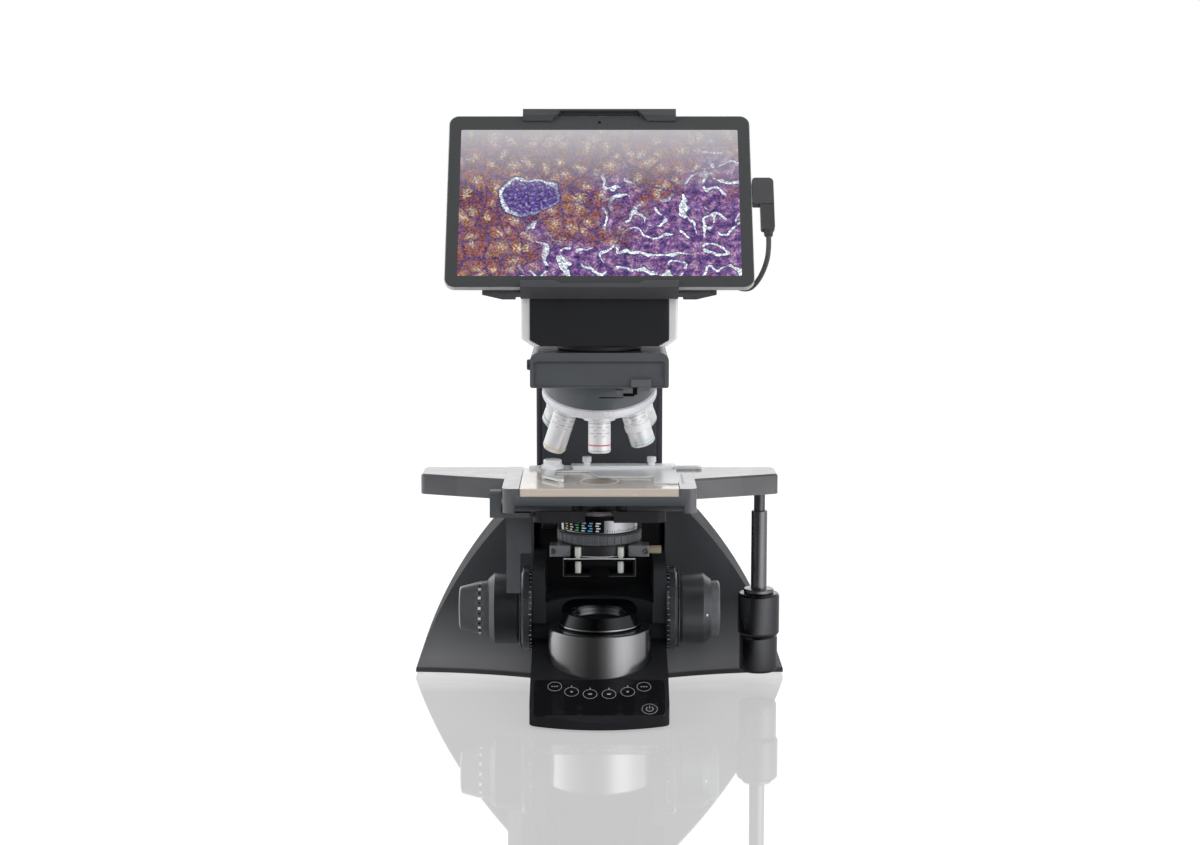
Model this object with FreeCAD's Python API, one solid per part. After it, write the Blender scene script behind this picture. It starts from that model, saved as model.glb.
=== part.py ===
import FreeCAD, Part
import math
import os
from FreeCAD import Vector

# A laboratory microscope with a camera on its head and a tablet as its screen.
# All sizes are in millimetres. X runs to the right, Y to the back and Z up.
# The origin is the middle of the footprint, on the table.

# Fits and clearances
running_fit = 0.05
slide_gap = 0.3
wall_gap = 0.2

# Light path: the drum, the condenser and the objective in use share this axis
axis_y = -55.0

# Foot, with its sloped panel, the light drum's pocket and the focus housing
foot_half_width = 58.3
foot_front = -150.0
foot_bulge = 15.0
foot_corner_round = 10.0
foot_underside = 2.0
lip_height = 8.0
panel_front_y = -145.0
panel_front_z = 11.0
panel_rear_y = -99.0
panel_rear_z = 33.0
shoulder_y = -24.0
shoulder_z = 50.5
housing_front = -37.0
housing_bottom = 66.0
housing_top = 118.0
housing_round = 10.0
channel_half_width = 47.0
channel_floor = 84.5
pocket_radius = 49.5
glass_half_width = 54.4
glass_depth = 1.2
glass_front_inset = 4.0
glass_length = 45.0

# Skirt: the wide shell that wraps the stand from behind
skirt_half_width = 167.0
skirt_corner_front = 49.0
skirt_corner_round = 14.0
skirt_edge_height = 3.0
skirt_middle_x = 128.0
skirt_middle_z = 89.0
skirt_top = 172.0
skirt_lean = 12.0
skirt_rear = 150.0
skirt_rear_lean = 14.0
skirt_wall = 4.0
skirt_foot_front = 25.0

# Column and its covers
column_half_width = 56.5
column_front = 46.0
column_rear = 128.0
column_wall = 8.0
column_round = 5.0
cover_half_width = 51.0
cover_thickness = 2.4
cover_bottom = 192.0
plate_thickness = 2.0
foot_pad_radius = 9.0
foot_pad_height = 2.0

# Head
head_half_width = 57.8
head_front = -93.0
head_bottom = 279.0
head_height = 29.3
head_round = 7.0
head_panel_inset = 3.5
head_panel_depth = 1.0

# Focus drive: one axis across the foot
focus_y = -10.0
focus_z = 74.3
coarse_shaft_radius = 8.0
fine_shaft_radius = 4.0
disc_radius = 37.8
disc_thickness = 11.0
coarse_radius = 31.0
coarse_length = 23.0
coarse_chamfer = 4.5
fine_radius = 24.6
fine_end_radius = 19.0
fine_length = 27.5
fine_short_length = 10.0

# Vertical guide and the stage that rides on it
guide_half_neck = 15.0
guide_half_head = 21.0
guide_depth = 8.0
guide_bottom = 102.0
guide_top = 190.0
carriage_half_width = 38.0
carriage_depth = 21.0
carriage_bottom = 126.0
stage_top = 195.0
ceramic_thickness = 6.7
ceramic_half_width = 67.0
ceramic_front = -98.0
ceramic_rear = 17.0
frame_half_width = 81.5
frame_thickness = 20.8
wing_half_span = 155.5
wing_thickness = 17.5
wing_front = -18.0
wing_root_front = -47.0
wing_rear = 24.0
wing_root_rear = 17.0
wing_round = 7.0
wing_bow_reach = 42.0
wing_bow_rise = 13.0
wing_bow_round = 30.0
wing_edge_round = 2.5
wing_pad_reach = 36.5
wing_pad_thickness = 2.8
front_beam_height = 7.8
front_post_width = 10.5
stage_opening_half = 29.0
stage_opening_length = 66.0
carrier_half_width = 56.0
carrier_front = -90.0
carrier_thickness = 9.5
side_plate_thickness = 3.6
side_plate_y = -50.0
side_plate_left = frame_half_width - 1.5
side_plate_width = 12.0
side_plate_top_width = 21.5
side_plate_step_z = 131.0
side_plate_bottom = 96.0
bracket_front = -88.0
bracket_bottom = 168.6
bracket_top = 191.0
bracket_wall = 4.1
bracket_width = 9.7
bracket_gap = 1.0
bracket_left = frame_half_width + bracket_gap + bracket_width
stage_hole_radius = 15.5
stage_hole_half_length = 2.0
y_travel = 13.0

# Specimen slide holder on the stage
slide_length = 76.0
slide_width = 26.0
slide_left = -30.0
rail_left = -62.0
rail_right = 90.0
rail_front = 5.0
rail_width = 11.5
rail_thickness = 2.3
rail_slot_width = 4.0
holder_thickness = 1.5
holder_arm_width = 21.0
screw_radius = 4.0
screw_height = 4.8
screw_left_x = -11.0
screw_right_x = 46.0
clip_pivot_x = -41.0
clip_pivot_y = -4.0
clip_base_radius = 9.7
clip_base_height = 3.4
clip_disc_radius = 8.0
clip_disc_height = 4.6
clip_pin_radius = 1.5
clip_arm_width = 8.0

# Stage drive that hangs under the right wing
drive_inset = 14.2
drive_y = 8.0
drive_rod_radius = 4.9
drive_tube_radius = 7.0
drive_tube_top = 158.6
drive_collar_radius = 13.3
drive_collar_height = 3.6
upper_knob_radius = 18.4
upper_knob_height = 37.0
lower_knob_radius = 16.8
lower_knob_height = 32.8
drive_bottom = 14.4

# Condenser under the stage
condenser_radius = 33.0
condenser_bottom = 154.4
condenser_rim_z = 169.5
condenser_nose_radius = 21.0
condenser_nose_z = 180.0
aperture_radius = 36.0
aperture_height = 9.0
condenser_barrel_radius = 28.0
carrier_ring_radius = 35.0
carrier_ring_height = 9.2
carrier_ring_z = 135.0
condenser_post_x = 18.0
condenser_post_radius = 2.4
condenser_post_bottom = 122.0
cage_half_width = 30.6
cage_bottom = 119.4
cage_rear = -41.0
condenser_rail_half = 9.0
condenser_rail_depth = 6.0
condenser_knob_radius = 8.0
condenser_knob_length = 13.0
centring_knob_radius = 3.4
centring_knob_length = 10.0

# Light drum
drum_radius = 44.7
drum_top = 68.7
drum_floor = 22.0
drum_wall = 5.0
drum_tube_radius = 27.0
drum_tube_top = 79.0
trim_radius = 35.4
trim_width = 3.0
diaphragm_radius = 34.0
diaphragm_top_radius = 29.4
diaphragm_top = 81.5
lens_radius = 24.0

# Six-place nosepiece, tilted so that the unused objectives point to the back
nose_tilt = 20.5
seat_circle = 32.0
seat_z = 250.0
turret_radius = 49.0
turret_band = 7.9
seat_boss_radius = 14.2
pivot_radius = 7.0
mount_thickness = 7.4
objective_thread_radius = 9.0
# length, barrel radius, tip radius and tip length of each objective in turn
objective_sizes = [
    (31.5, 9.6, 8.6, 2.0),
    (40.5, 10.0, 8.2, 3.5),
    (41.0, 12.4, 7.6, 6.0),
    (39.0, 10.2, 5.6, 6.0),
    (41.0, 12.6, 7.8, 6.0),
    (34.5, 10.8, 9.2, 2.5),
]

# Camera on its round dovetail
dovetail_radius = 36.0
spigot_radius = 30.0
spigot_depth = 18.0
dovetail_height = 4.7
camera_half_width = 65.0
camera_front = -92.0
camera_rear = 3.0
camera_bottom = 313.6
camera_height = 42.4
camera_round = 9.0
camera_panel_half_width = 57.8
camera_panel_thickness = 3.0
clamp_knob_radius = 4.6
clamp_shaft_radius = 2.5
clamp_z = 294.5

# Tablet and its cradle. "up" runs along the tablet's face, "back" through it
tablet_width = 253.8
tablet_height = 165.3
tablet_thickness = 6.3
tablet_round = 8.5
tablet_rim = 1.2
tablet_lean = 33.0
tablet_foot_y = -118.0
tablet_foot_z = 365.0
bezel_thickness = 0.8
jaw_half_width = 64.7
jaw_front = 4.0
lower_jaw_drop = 2.4
lower_jaw_lip = 4.6
lower_jaw_notch = 1.6
lower_jaw_depth = 17.0
lower_jaw_back_rise = 14.0
upper_jaw_rise = 4.6
upper_jaw_face = 6.2
upper_jaw_lip = 5.8
jaw_pad_width = 25.0
cradle_thickness = 4.0
cradle_height = 62.0
spine_half_width = 20.0
spine_top = 150.0
spine_thickness = 7.0
tongue_half_width = 10.0
tongue_thickness = 3.0
tilt_up = 30.0
tilt_back = 24.0
tilt_pin_radius = 3.0
tilt_lug_radius = 8.0
tilt_lug_half_width = 14.0
bracket_ear_width = 7.0
wedge_arm_length = 31.3
wedge_arm_height = 5.0
tongue_start = 70.0
bracket_half_width = 36.0
bracket_front_reach = 8.0
bracket_rear_reach = 44.0

# Cable from the tablet's side to the camera's back, and its two alike plugs
cable_radius = 2.1
plug_width = 7.0
plug_relief_out = 12.9
plug_relief_end = 42.2
plug_up = 92.0
camera_plug_x = -20.0
camera_plug_z = 340.0
cable_bends = [
    (139.8, -95.8, 393.2),
    (136.3, -97.5, 379.0),
    (130.3, -92.4, 366.6),
    (123.4, -81.2, 359.4),
    (112.0, -54.5, 361.2),
    (98.5, -22.0, 361.6),
    (83.0, -3.0, 359.8),
    (66.5, 9.6, 356.0),
    (51.5, 15.4, 347.6),
    (36.5, 15.9, 340.0),
]

# Sizes that follow from the ones above
drive_x = wing_half_span - drive_inset
head_top = head_bottom + head_height
camera_top = camera_bottom + camera_height
ceramic_bottom = stage_top - ceramic_thickness
frame_bottom = stage_top - frame_thickness
carrier_top = frame_bottom
tilt_angle = math.radians(nose_tilt)
lean = math.radians(tablet_lean)


def corner(points, index):
    """Tangent points and middle of the round at one corner of a closed outline."""
    x, y = points[index][:2]
    radius = points[index][2] if len(points[index]) > 2 else 0.0
    before = Vector(*points[index - 1][:2], 0) - Vector(x, y, 0)
    after = Vector(*points[(index + 1) % len(points)][:2], 0) - Vector(x, y, 0)
    here = Vector(x, y, 0)
    if radius == 0.0:
        return here, None, here
    before.normalize()
    after.normalize()
    half = before.getAngle(after) / 2
    reach = radius / math.tan(half)
    bisector = before + after
    bisector.normalize()
    middle = here + bisector * (radius / math.sin(half) - radius)
    return here + before * reach, middle, here + after * reach


def outline(points):
    """Closed wire through (x, y) or (x, y, corner radius) points, in the XY plane."""
    corners = [corner(points, index) for index in range(len(points))]
    edges = []
    for index, (start, middle, end) in enumerate(corners):
        if middle is not None:
            edges.append(Part.Arc(start, middle, end).toShape())
        following = corners[(index + 1) % len(corners)][0]
        if end.distanceToPoint(following) > 1e-6:
            edges.append(Part.LineSegment(end, following).toShape())
    return Part.Wire(edges)


def plate(points, bottom, top):
    """Upright prism over an outline of the plan."""
    face = Part.Face(outline(points))
    face.translate(Vector(0, 0, bottom))
    return face.extrude(Vector(0, 0, top - bottom))


def side_profile(points, left, right):
    """Prism along X over an outline of (y, z) points."""
    face = Part.Face(outline(points))
    face.rotate(Vector(0, 0, 0), Vector(1, 0, 0), 90)
    face.rotate(Vector(0, 0, 0), Vector(0, 0, 1), 90)
    face.translate(Vector(left, 0, 0))
    return face.extrude(Vector(right - left, 0, 0))


def front_profile(points, front, rear):
    """Prism along Y over an outline of (x, z) points."""
    face = Part.Face(outline(points))
    face.rotate(Vector(0, 0, 0), Vector(1, 0, 0), 90)
    face.translate(Vector(0, front, 0))
    return face.extrude(Vector(0, rear - front, 0))


def box(left, right, front, rear, bottom, top):
    return Part.makeBox(right - left, rear - front, top - bottom, Vector(left, front, bottom))


def upright(x, y, bottom, top, radius):
    return Part.makeCylinder(radius, top - bottom, Vector(x, y, bottom), Vector(0, 0, 1))


def crosswise(left, right, y, z, radius):
    return Part.makeCylinder(radius, right - left, Vector(left, y, z), Vector(1, 0, 0))


def turned(points, centre, direction):
    """Body turned about an axis, from (radius, distance along the axis) points."""
    face = Part.Face(outline(points))
    face.rotate(Vector(0, 0, 0), Vector(1, 0, 0), 90)
    solid = face.revolve(Vector(0, 0, 0), Vector(0, 0, 1), 360)
    solid.Placement = FreeCAD.Placement(centre, FreeCAD.Rotation(Vector(0, 0, 1), direction))
    return solid


def soften(solid, radius, chosen):
    """Round the edges that the test picks."""
    return solid.makeFillet(radius, [edge for edge in solid.Edges if chosen(edge)])


def bevel(solid, size, chosen):
    """Chamfer the edges that the test picks."""
    return solid.makeChamfer(size, [edge for edge in solid.Edges if chosen(edge)])


def level(z):
    """Test for edges that lie flat at one height."""
    return lambda edge: abs(edge.BoundBox.ZMin - z) < 1e-4 and abs(edge.BoundBox.ZMax - z) < 1e-4


def facing(y):
    """Test for edges that lie in one upright plane across the object."""
    return lambda edge: abs(edge.BoundBox.YMin - y) < 1e-4 and abs(edge.BoundBox.YMax - y) < 1e-4


def mirror_x(points):
    """Whole outline from its right half, given from the middle of one end to the other."""
    left = [(-point[0],) + tuple(point[1:]) for point in reversed(points) if point[0] > 1e-9]
    return list(points) + left


def save(name, shape):
    shape.exportStep("parts/" + name + ".step")


# Stand

def foot_plan():
    """Plan of the foot: straight sides and a front edge that bulges forward."""
    half = foot_half_width
    rear = column_front
    corner_y = foot_front + foot_bulge
    edges = [
        Part.Arc(
            Vector(-half, corner_y, 0),
            Vector(0, foot_front, 0),
            Vector(half, corner_y, 0),
        ).toShape(),
        Part.LineSegment(Vector(half, corner_y, 0), Vector(half, rear, 0)).toShape(),
        Part.LineSegment(Vector(half, rear, 0), Vector(-half, rear, 0)).toShape(),
        Part.LineSegment(Vector(-half, rear, 0), Vector(-half, corner_y, 0)).toShape(),
    ]
    prism = Part.Face(Part.Wire(edges)).extrude(Vector(0, 0, housing_top + 10))
    front_posts = [
        edge for edge in prism.Edges
        if edge.BoundBox.YMax < corner_y + 1 and edge.BoundBox.ZLength > housing_top
    ]
    return prism.makeFillet(foot_corner_round, front_posts)


def foot_side():
    """Side view of the foot: lip, sloped panel, shoulder under the drum, focus housing."""
    return side_profile(
        [
            (foot_front - 1, foot_underside),
            (column_front, foot_underside),
            (column_front, housing_top),
            (housing_front, housing_top, housing_round),
            (housing_front, housing_bottom, 1.5),
            (shoulder_y, housing_bottom, 2.0),
            (shoulder_y, shoulder_z, 2.0),
            (panel_rear_y, panel_rear_z),
            (panel_front_y, panel_front_z, 2.0),
            (foot_front - 1, lip_height),
        ],
        -foot_half_width,
        foot_half_width,
    )


def panel_slope():
    rise = panel_rear_z - panel_front_z
    return math.atan2(rise, panel_rear_y - panel_front_y)


def touch_panel_form(clearance, lift):
    """Glass plate that lies in the sloped front of the foot."""
    slope = panel_slope()
    half = glass_half_width + clearance
    length = glass_length + clearance
    form = plate(
        [
            (-half, -clearance, 3.0),
            (half, -clearance, 3.0),
            (half, length, 3.0),
            (-half, length, 3.0),
        ],
        -glass_depth,
        lift,
    )
    form.rotate(Vector(0, 0, 0), Vector(1, 0, 0), math.degrees(slope))
    along = glass_front_inset
    form.translate(Vector(
        0,
        panel_front_y + along * math.cos(slope),
        panel_front_z + along * math.sin(slope),
    ))
    return form


def foot_casting():
    """Cast foot with the drum's pocket and two cheeks that carry the focus axis."""
    body = foot_plan().common(foot_side())
    body = body.cut(upright(0, axis_y, drum_floor, shoulder_z + 1, drum_radius + wall_gap))
    body = body.cut(upright(0, axis_y, shoulder_z, housing_top, pocket_radius))
    body = body.cut(box(
        -channel_half_width, channel_half_width, housing_front - 1, column_front + 1,
        channel_floor, housing_top + 1,
    ))
    body = body.cut(crosswise(
        -foot_half_width - 1, foot_half_width + 1, focus_y, focus_z,
        coarse_shaft_radius + running_fit,
    ))
    return body.cut(touch_panel_form(wall_gap, 5.0))


def skirt_front(x):
    """Y of the skirt's front face at the table, from the foot to the outer corner."""
    share = (abs(x) - foot_half_width) / (skirt_half_width - foot_half_width)
    return skirt_foot_front + (skirt_corner_front - skirt_foot_front) * math.sin(share * math.pi / 2)


def skirt_plan(height, lean_front, lean_rear, inset):
    """Plan section of the skirt at one height, as a closed wire."""
    half = skirt_half_width + 3 - inset
    near = foot_half_width
    rear = skirt_rear - lean_rear - inset
    middle_x = (near + half) / 2
    front = [Vector(x, skirt_front(x) + lean_front + inset, height) for x in (near, middle_x, half)]
    back_left = Vector(-half, rear, height)
    mirror = [Vector(-point.x, point.y, height) for point in front]
    return Part.Wire([
        Part.Arc(front[0], front[1], front[2]).toShape(),
        Part.LineSegment(front[2], Vector(half, rear, height)).toShape(),
        Part.LineSegment(Vector(half, rear, height), back_left).toShape(),
        Part.LineSegment(back_left, mirror[2]).toShape(),
        Part.Arc(mirror[2], mirror[1], mirror[0]).toShape(),
        Part.LineSegment(mirror[0], front[0]).toShape(),
    ])


def mountain(inset):
    """Front view of the skirt: two wide flanks that rise to the column."""
    half = skirt_half_width - inset
    top_half = column_half_width + 1.0
    foot = foot_underside
    right_foot = Vector(half, 0, foot)
    right_edge = Vector(half, 0, foot + skirt_edge_height)
    right_middle = Vector(skirt_middle_x - inset * 0.8, 0, skirt_middle_z - inset * 0.7)
    right_top = Vector(top_half, 0, skirt_top - inset)
    left = [Vector(-p.x, 0, p.z) for p in (right_top, right_middle, right_edge, right_foot)]
    edges = [
        Part.LineSegment(right_foot, right_edge).toShape(),
        Part.Arc(right_edge, right_middle, right_top).toShape(),
        Part.LineSegment(right_top, left[0]).toShape(),
        Part.Arc(left[0], left[1], left[2]).toShape(),
        Part.LineSegment(left[2], left[3]).toShape(),
        Part.LineSegment(left[3], right_foot).toShape(),
    ]
    face = Part.Face(Part.Wire(edges))
    return face.extrude(Vector(0, skirt_rear + 10, 0))


def skirt_form(inset):
    bottom = skirt_plan(0.0, 0.0, 0.0, inset)
    top = skirt_plan(skirt_top + 10, skirt_lean, skirt_rear_lean, inset)
    mass = Part.makeLoft([bottom, top], True, True)
    return mass.common(mountain(inset))


def skirt_shell():
    """Wide thin-walled shell, open below, with a slot for the column and the foot."""
    outer = skirt_form(0.0)
    inner = skirt_form(skirt_wall)
    inner.translate(Vector(0, 0, -skirt_edge_height))
    shell = outer.cut(inner)
    column_slot = box(
        -column_half_width - slide_gap, column_half_width + slide_gap,
        0, column_rear + slide_gap, -1, skirt_top + 20,
    )
    foot_slot = box(
        -foot_half_width - slide_gap, foot_half_width + slide_gap,
        0, column_front + slide_gap, -1, skirt_top + 20,
    )
    inlet = inlet_hole(wall_gap)
    return shell.cut(column_slot).cut(foot_slot).cut(inlet)


def column():
    """Upright casting: U section with its open side at the back, dovetail guide in front."""
    outer = plate(
        [
            (-column_half_width, column_front, column_round),
            (column_half_width, column_front, column_round),
            (column_half_width, column_rear, column_round),
            (-column_half_width, column_rear, column_round),
        ],
        foot_underside + plate_thickness,
        head_bottom,
    )
    inside = column_half_width - column_wall
    pocket = box(
        -inside, inside, column_front + column_wall * 2, column_rear + 1,
        foot_underside + plate_thickness + 4, head_bottom - column_wall,
    )
    cover_seat = front_cover_form(wall_gap)
    body = outer.cut(pocket).cut(cover_seat)
    body = body.cut(rear_cover_form(wall_gap))
    return body.fuse(guide_form(0.0)).removeSplitter()


def guide_form(clearance):
    """Dovetail guide on the column's front, wider at its face than at its root."""
    tip = column_front - guide_depth - clearance
    neck = guide_half_neck + clearance
    head = guide_half_head + clearance
    return plate(
        [
            (-neck, column_front + 1),
            (-neck, column_front),
            (-head, tip),
            (head, tip),
            (neck, column_front),
            (neck, column_front + 1),
        ],
        guide_bottom,
        guide_top,
    )


def front_cover_form(clearance):
    half = cover_half_width + clearance
    return box(
        -half, half, column_front - 0.01, column_front + cover_thickness + clearance,
        cover_bottom - clearance, head_bottom,
    )


def column_front_cover():
    """Flat panel let into the column's front, with fine bevelled edges."""
    panel = box(
        -cover_half_width, cover_half_width,
        column_front - 0.6, column_front + cover_thickness, cover_bottom, head_bottom,
    )
    return bevel(
        panel, 0.5,
        lambda edge: abs(edge.BoundBox.YMax - (column_front - 0.6)) < 1e-4 and edge.BoundBox.ZLength > 1,
    )


def rear_cover_form(clearance):
    half = column_half_width - column_wall / 2 + clearance
    return box(
        -half, half, column_rear - plate_thickness - clearance, column_rear + 1,
        skirt_top + 4 - clearance, head_bottom - column_wall / 2 + clearance,
    )


def rear_cover():
    """Flat cover over the open back of the column, with cooling slots."""
    half = column_half_width - column_wall / 2
    bottom = skirt_top + 4
    top = head_bottom - column_wall / 2
    cover = front_profile(
        [(-half, bottom, 4.0), (half, bottom, 4.0), (half, top, 4.0), (-half, top, 4.0)],
        column_rear - plate_thickness, column_rear,
    )
    slot_pitch = 7.0
    for row in range(5):
        z = (bottom + top) / 2 + (row - 2) * slot_pitch
        slot = front_profile(
            [(-22, z - 1.2, 1.1), (22, z - 1.2, 1.1), (22, z + 1.2, 1.1), (-22, z + 1.2, 1.1)],
            column_rear - plate_thickness - 1, column_rear + 1,
        )
        cover = cover.cut(slot)
    return cover


def bottom_plate():
    """Steel sheet that closes the skirt and carries the column from below."""
    inset = skirt_wall + 1.0
    outline_wire = skirt_plan(foot_underside, 0.0, 0.0, inset)
    sheet = Part.Face(outline_wire).extrude(Vector(0, 0, plate_thickness - wall_gap))
    flanks = box(
        -skirt_half_width + inset, skirt_half_width - inset,
        0, skirt_rear, foot_underside - 1, foot_underside + plate_thickness + 1,
    )
    foot_clear = box(
        -foot_half_width - slide_gap, foot_half_width + slide_gap,
        0, column_front + slide_gap, 0, foot_underside + plate_thickness + 1,
    )
    return sheet.common(flanks).cut(foot_clear)


def rubber_feet():
    """Six soft pads under the foot and the skirt."""
    pads = []
    front_y = foot_front + 26
    corner_x = skirt_half_width - 24
    corner_y = skirt_corner_front + 17
    rear_y = skirt_rear - 20
    spots = [
        (foot_half_width - 14, front_y),
        (corner_x, corner_y),
        (corner_x - 8, rear_y),
    ]
    for x, y in spots:
        for side in (-1, 1):
            pad = upright(side * x, y, 0, foot_pad_height, foot_pad_radius)
            pads.append(bevel(pad, 0.6, level(0.0)))
    return Part.makeCompound(pads)


def inlet_hole(clearance):
    """Room for the power socket in the skirt's rear wall."""
    return Part.makeCylinder(
        6.5 + clearance, 30, Vector(-34, skirt_rear - 24, 34), Vector(0, 1, 0),
    )


def power_inlet():
    """Round low-voltage socket with a centre pin, let into the rear wall."""
    lean_share = 34.0 / (skirt_top + 10)
    face_y = skirt_rear - skirt_rear_lean * lean_share
    barrel = turned(
        [(2.9, 3), (5.0, 3), (5.0, -12), (0, -12), (0, -9), (2.9, -9)],
        Vector(-34, face_y, 34), Vector(0, 1, 0),
    )
    flange = turned(
        [(2.9, -4), (6.5, -4), (6.5, 1.0), (5.9, 1.6), (2.9, 1.6)],
        Vector(-34, face_y, 34), Vector(0, 1, 0),
    )
    barrel = barrel.cut(Part.makeCylinder(9, 9, Vector(-34, face_y + 1.6, 34), Vector(0, 1, 0)))
    pin = Part.makeCylinder(1.0, 10, Vector(-34, face_y - 10, 34), Vector(0, 1, 0))
    return barrel.fuse([flange, pin]).removeSplitter()


# Light drum on the foot

def light_drum():
    """Drum with a bevelled top rim and a fixed tube that carries the lens."""
    shell = turned(
        [
            (0, drum_floor),
            (drum_radius, drum_floor),
            (drum_radius, drum_top, 1.6),
            (trim_radius + 0.2, drum_top),
            (trim_radius + 0.2, drum_top - 3),
            (drum_tube_radius, drum_top - 3),
            (drum_tube_radius, drum_tube_top),
            (lens_radius + wall_gap, drum_tube_top),
            (lens_radius + wall_gap, drum_tube_top - 6),
            (lens_radius - 2, drum_tube_top - 6),
            (lens_radius - 2, drum_floor + drum_wall),
            (0, drum_floor + drum_wall),
        ],
        Vector(0, axis_y, 0), Vector(0, 0, 1),
    )
    reach = drum_radius + 1
    return shell.cut(crosswise(-reach, reach, focus_y, focus_z, coarse_shaft_radius + slide_gap))


def drum_trim_ring():
    """Bright ring let into the drum's top."""
    return turned(
        [
            (trim_radius - trim_width, drum_top - 3),
            (trim_radius, drum_top - 3),
            (trim_radius, drum_top + 0.4, 0.8),
            (trim_radius - trim_width, drum_top + 0.4, 0.8),
        ],
        Vector(0, axis_y, 0), Vector(0, 0, 1),
    )


def field_diaphragm_ring():
    """Conical ring that opens the field diaphragm, turning round the lens tube."""
    base = drum_top - 3 + slide_gap
    outer = trim_radius - trim_width - slide_gap
    ring = turned(
        [
            (drum_tube_radius + running_fit, base),
            (outer, base),
            (outer, drum_top + 1.2),
            (diaphragm_radius, drum_top + 1.2, 0.5),
            (diaphragm_radius, drum_top + 3.0, 0.6),
            (diaphragm_top_radius, diaphragm_top, 0.7),
            (drum_tube_radius + running_fit, diaphragm_top - 0.6),
        ],
        Vector(0, axis_y, 0), Vector(0, 0, 1),
    )
    notch = box(
        -1.0, 1.0, axis_y - diaphragm_radius - 1, axis_y - diaphragm_top_radius - 1.6,
        drum_top + 4, drum_top + 9,
    )
    return ring.cut(notch)


def field_lens():
    """Plane-convex glass in the drum's tube."""
    top = drum_tube_top - 1.4
    bottom = drum_tube_top - 6
    lens = turned(
        [(0, bottom), (lens_radius, bottom), (lens_radius, top - 1.6), (0, top - 1.6)],
        Vector(0, axis_y, 0), Vector(0, 0, 1),
    )
    rise = 1.6
    curve = (lens_radius ** 2 + rise ** 2) / (2 * rise)
    ball = Part.makeSphere(curve, Vector(0, axis_y, top - curve))
    cap = upright(0, axis_y, top - 1.6, top + 1, lens_radius).common(ball)
    return lens.fuse(cap).removeSplitter()


def touch_panel():
    """Glossy glass with the controls, flush in the foot's slope."""
    return touch_panel_form(0.0, 0.0)


# Focus drive

def right_focus_flange():
    """Fixed disc on the right of the focus housing."""
    return focus_disc(1, 0.0)


def torque_ring():
    """Disc on the left that sets how stiff the coarse knobs turn."""
    return focus_disc(-1, slide_gap)


def focus_disc(side, gap):
    bore = coarse_shaft_radius + slide_gap
    inner = foot_half_width + gap
    outer = inner + disc_thickness
    rim = [
        (bore, inner),
        (disc_radius - 2.4, inner),
        (disc_radius, inner + 2.4, 0.8),
        (disc_radius, outer - 3.4, 1.2),
        (disc_radius - 3.0, outer - 1.2, 0.8),
        (disc_radius - 5.5, outer),
        (bore, outer),
    ]
    return turned(rim, Vector(0, focus_y, focus_z), Vector(side, 0, 0))


def coarse_start():
    """Distance from the middle plane to the inner face of a coarse knob."""
    return foot_half_width + slide_gap + disc_thickness + slide_gap


def coarse_knob(side, bore):
    """Coarse knob with a soft bevel and a bright chamfered lip."""
    inner = coarse_start()
    outer = inner + coarse_length
    return turned(
        [
            (bore, inner),
            (coarse_radius - 1.5, inner),
            (coarse_radius, inner + 2.5, 1.0),
            (coarse_radius, outer - 2.0, 1.8),
            (fine_radius + 2.2, outer + coarse_chamfer - 1.2, 0.8),
            (fine_radius + 1.4, outer + coarse_chamfer),
            (fine_radius + 0.5, outer + coarse_chamfer - 2.4),
            (bore, outer + coarse_chamfer - 2.4),
        ],
        Vector(0, focus_y, focus_z), Vector(side, 0, 0),
    )


def coarse_shaft():
    """Hollow shaft across the foot that joins the two coarse knobs."""
    reach = coarse_start() + coarse_length - 2
    tube = crosswise(-reach, reach, focus_y, focus_z, coarse_shaft_radius)
    return tube.cut(crosswise(-reach - 1, reach + 1, focus_y, focus_z, fine_shaft_radius + running_fit))


def coarse_knob_left():
    return coarse_knob(-1, coarse_shaft_radius)


def coarse_knob_right():
    return coarse_knob(1, coarse_shaft_radius)


def fine_start():
    return coarse_start() + coarse_length + coarse_chamfer - 2.4 + slide_gap


def fine_knob_left():
    """Long fine knob that tapers to a bright end rim, with a ring of grip notches."""
    inner = fine_start()
    outer = inner + fine_length
    knob = turned(
        [
            (fine_shaft_radius, inner),
            (fine_radius - 0.2, inner),
            (fine_radius, inner + 1.5, 0.6),
            (fine_radius - 1.6, inner + fine_length * 0.42),
            (fine_end_radius, outer - 1.4, 0.6),
            (fine_end_radius - 1.4, outer, 0.5),
            (fine_end_radius - 5.0, outer),
            (fine_end_radius - 6.5, outer - 1.6),
            (fine_shaft_radius, outer - 1.6),
        ],
        Vector(0, focus_y, focus_z), Vector(-1, 0, 0),
    )
    notch_count = 16
    band = inner + fine_length * 0.34
    for index in range(notch_count):
        angle = index * 2 * math.pi / notch_count
        notch = Part.makeCylinder(
            1.3, 6,
            Vector(
                -band,
                focus_y + math.cos(angle) * (fine_radius - 3.2),
                focus_z + math.sin(angle) * (fine_radius - 3.2),
            ),
            Vector(0, math.cos(angle), math.sin(angle)),
        )
        knob = knob.cut(notch)
    return knob


def fine_knob_right():
    """Short fine knob, made in one with the thin shaft to the left knob."""
    inner = fine_start()
    outer = inner + fine_short_length
    knob = turned(
        [
            (0, inner),
            (fine_radius, inner),
            (fine_radius, outer, 2.4),
            (fine_radius - 8, outer, 1.0),
            (fine_radius - 9, outer - 1.5),
            (0, outer - 1.5),
        ],
        Vector(0, focus_y, focus_z), Vector(1, 0, 0),
    )
    shaft = crosswise(
        -inner - fine_length + 1.6, inner + 1, focus_y, focus_z, fine_shaft_radius,
    )
    return knob.fuse(shaft).removeSplitter()


# Stage and its lift

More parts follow.
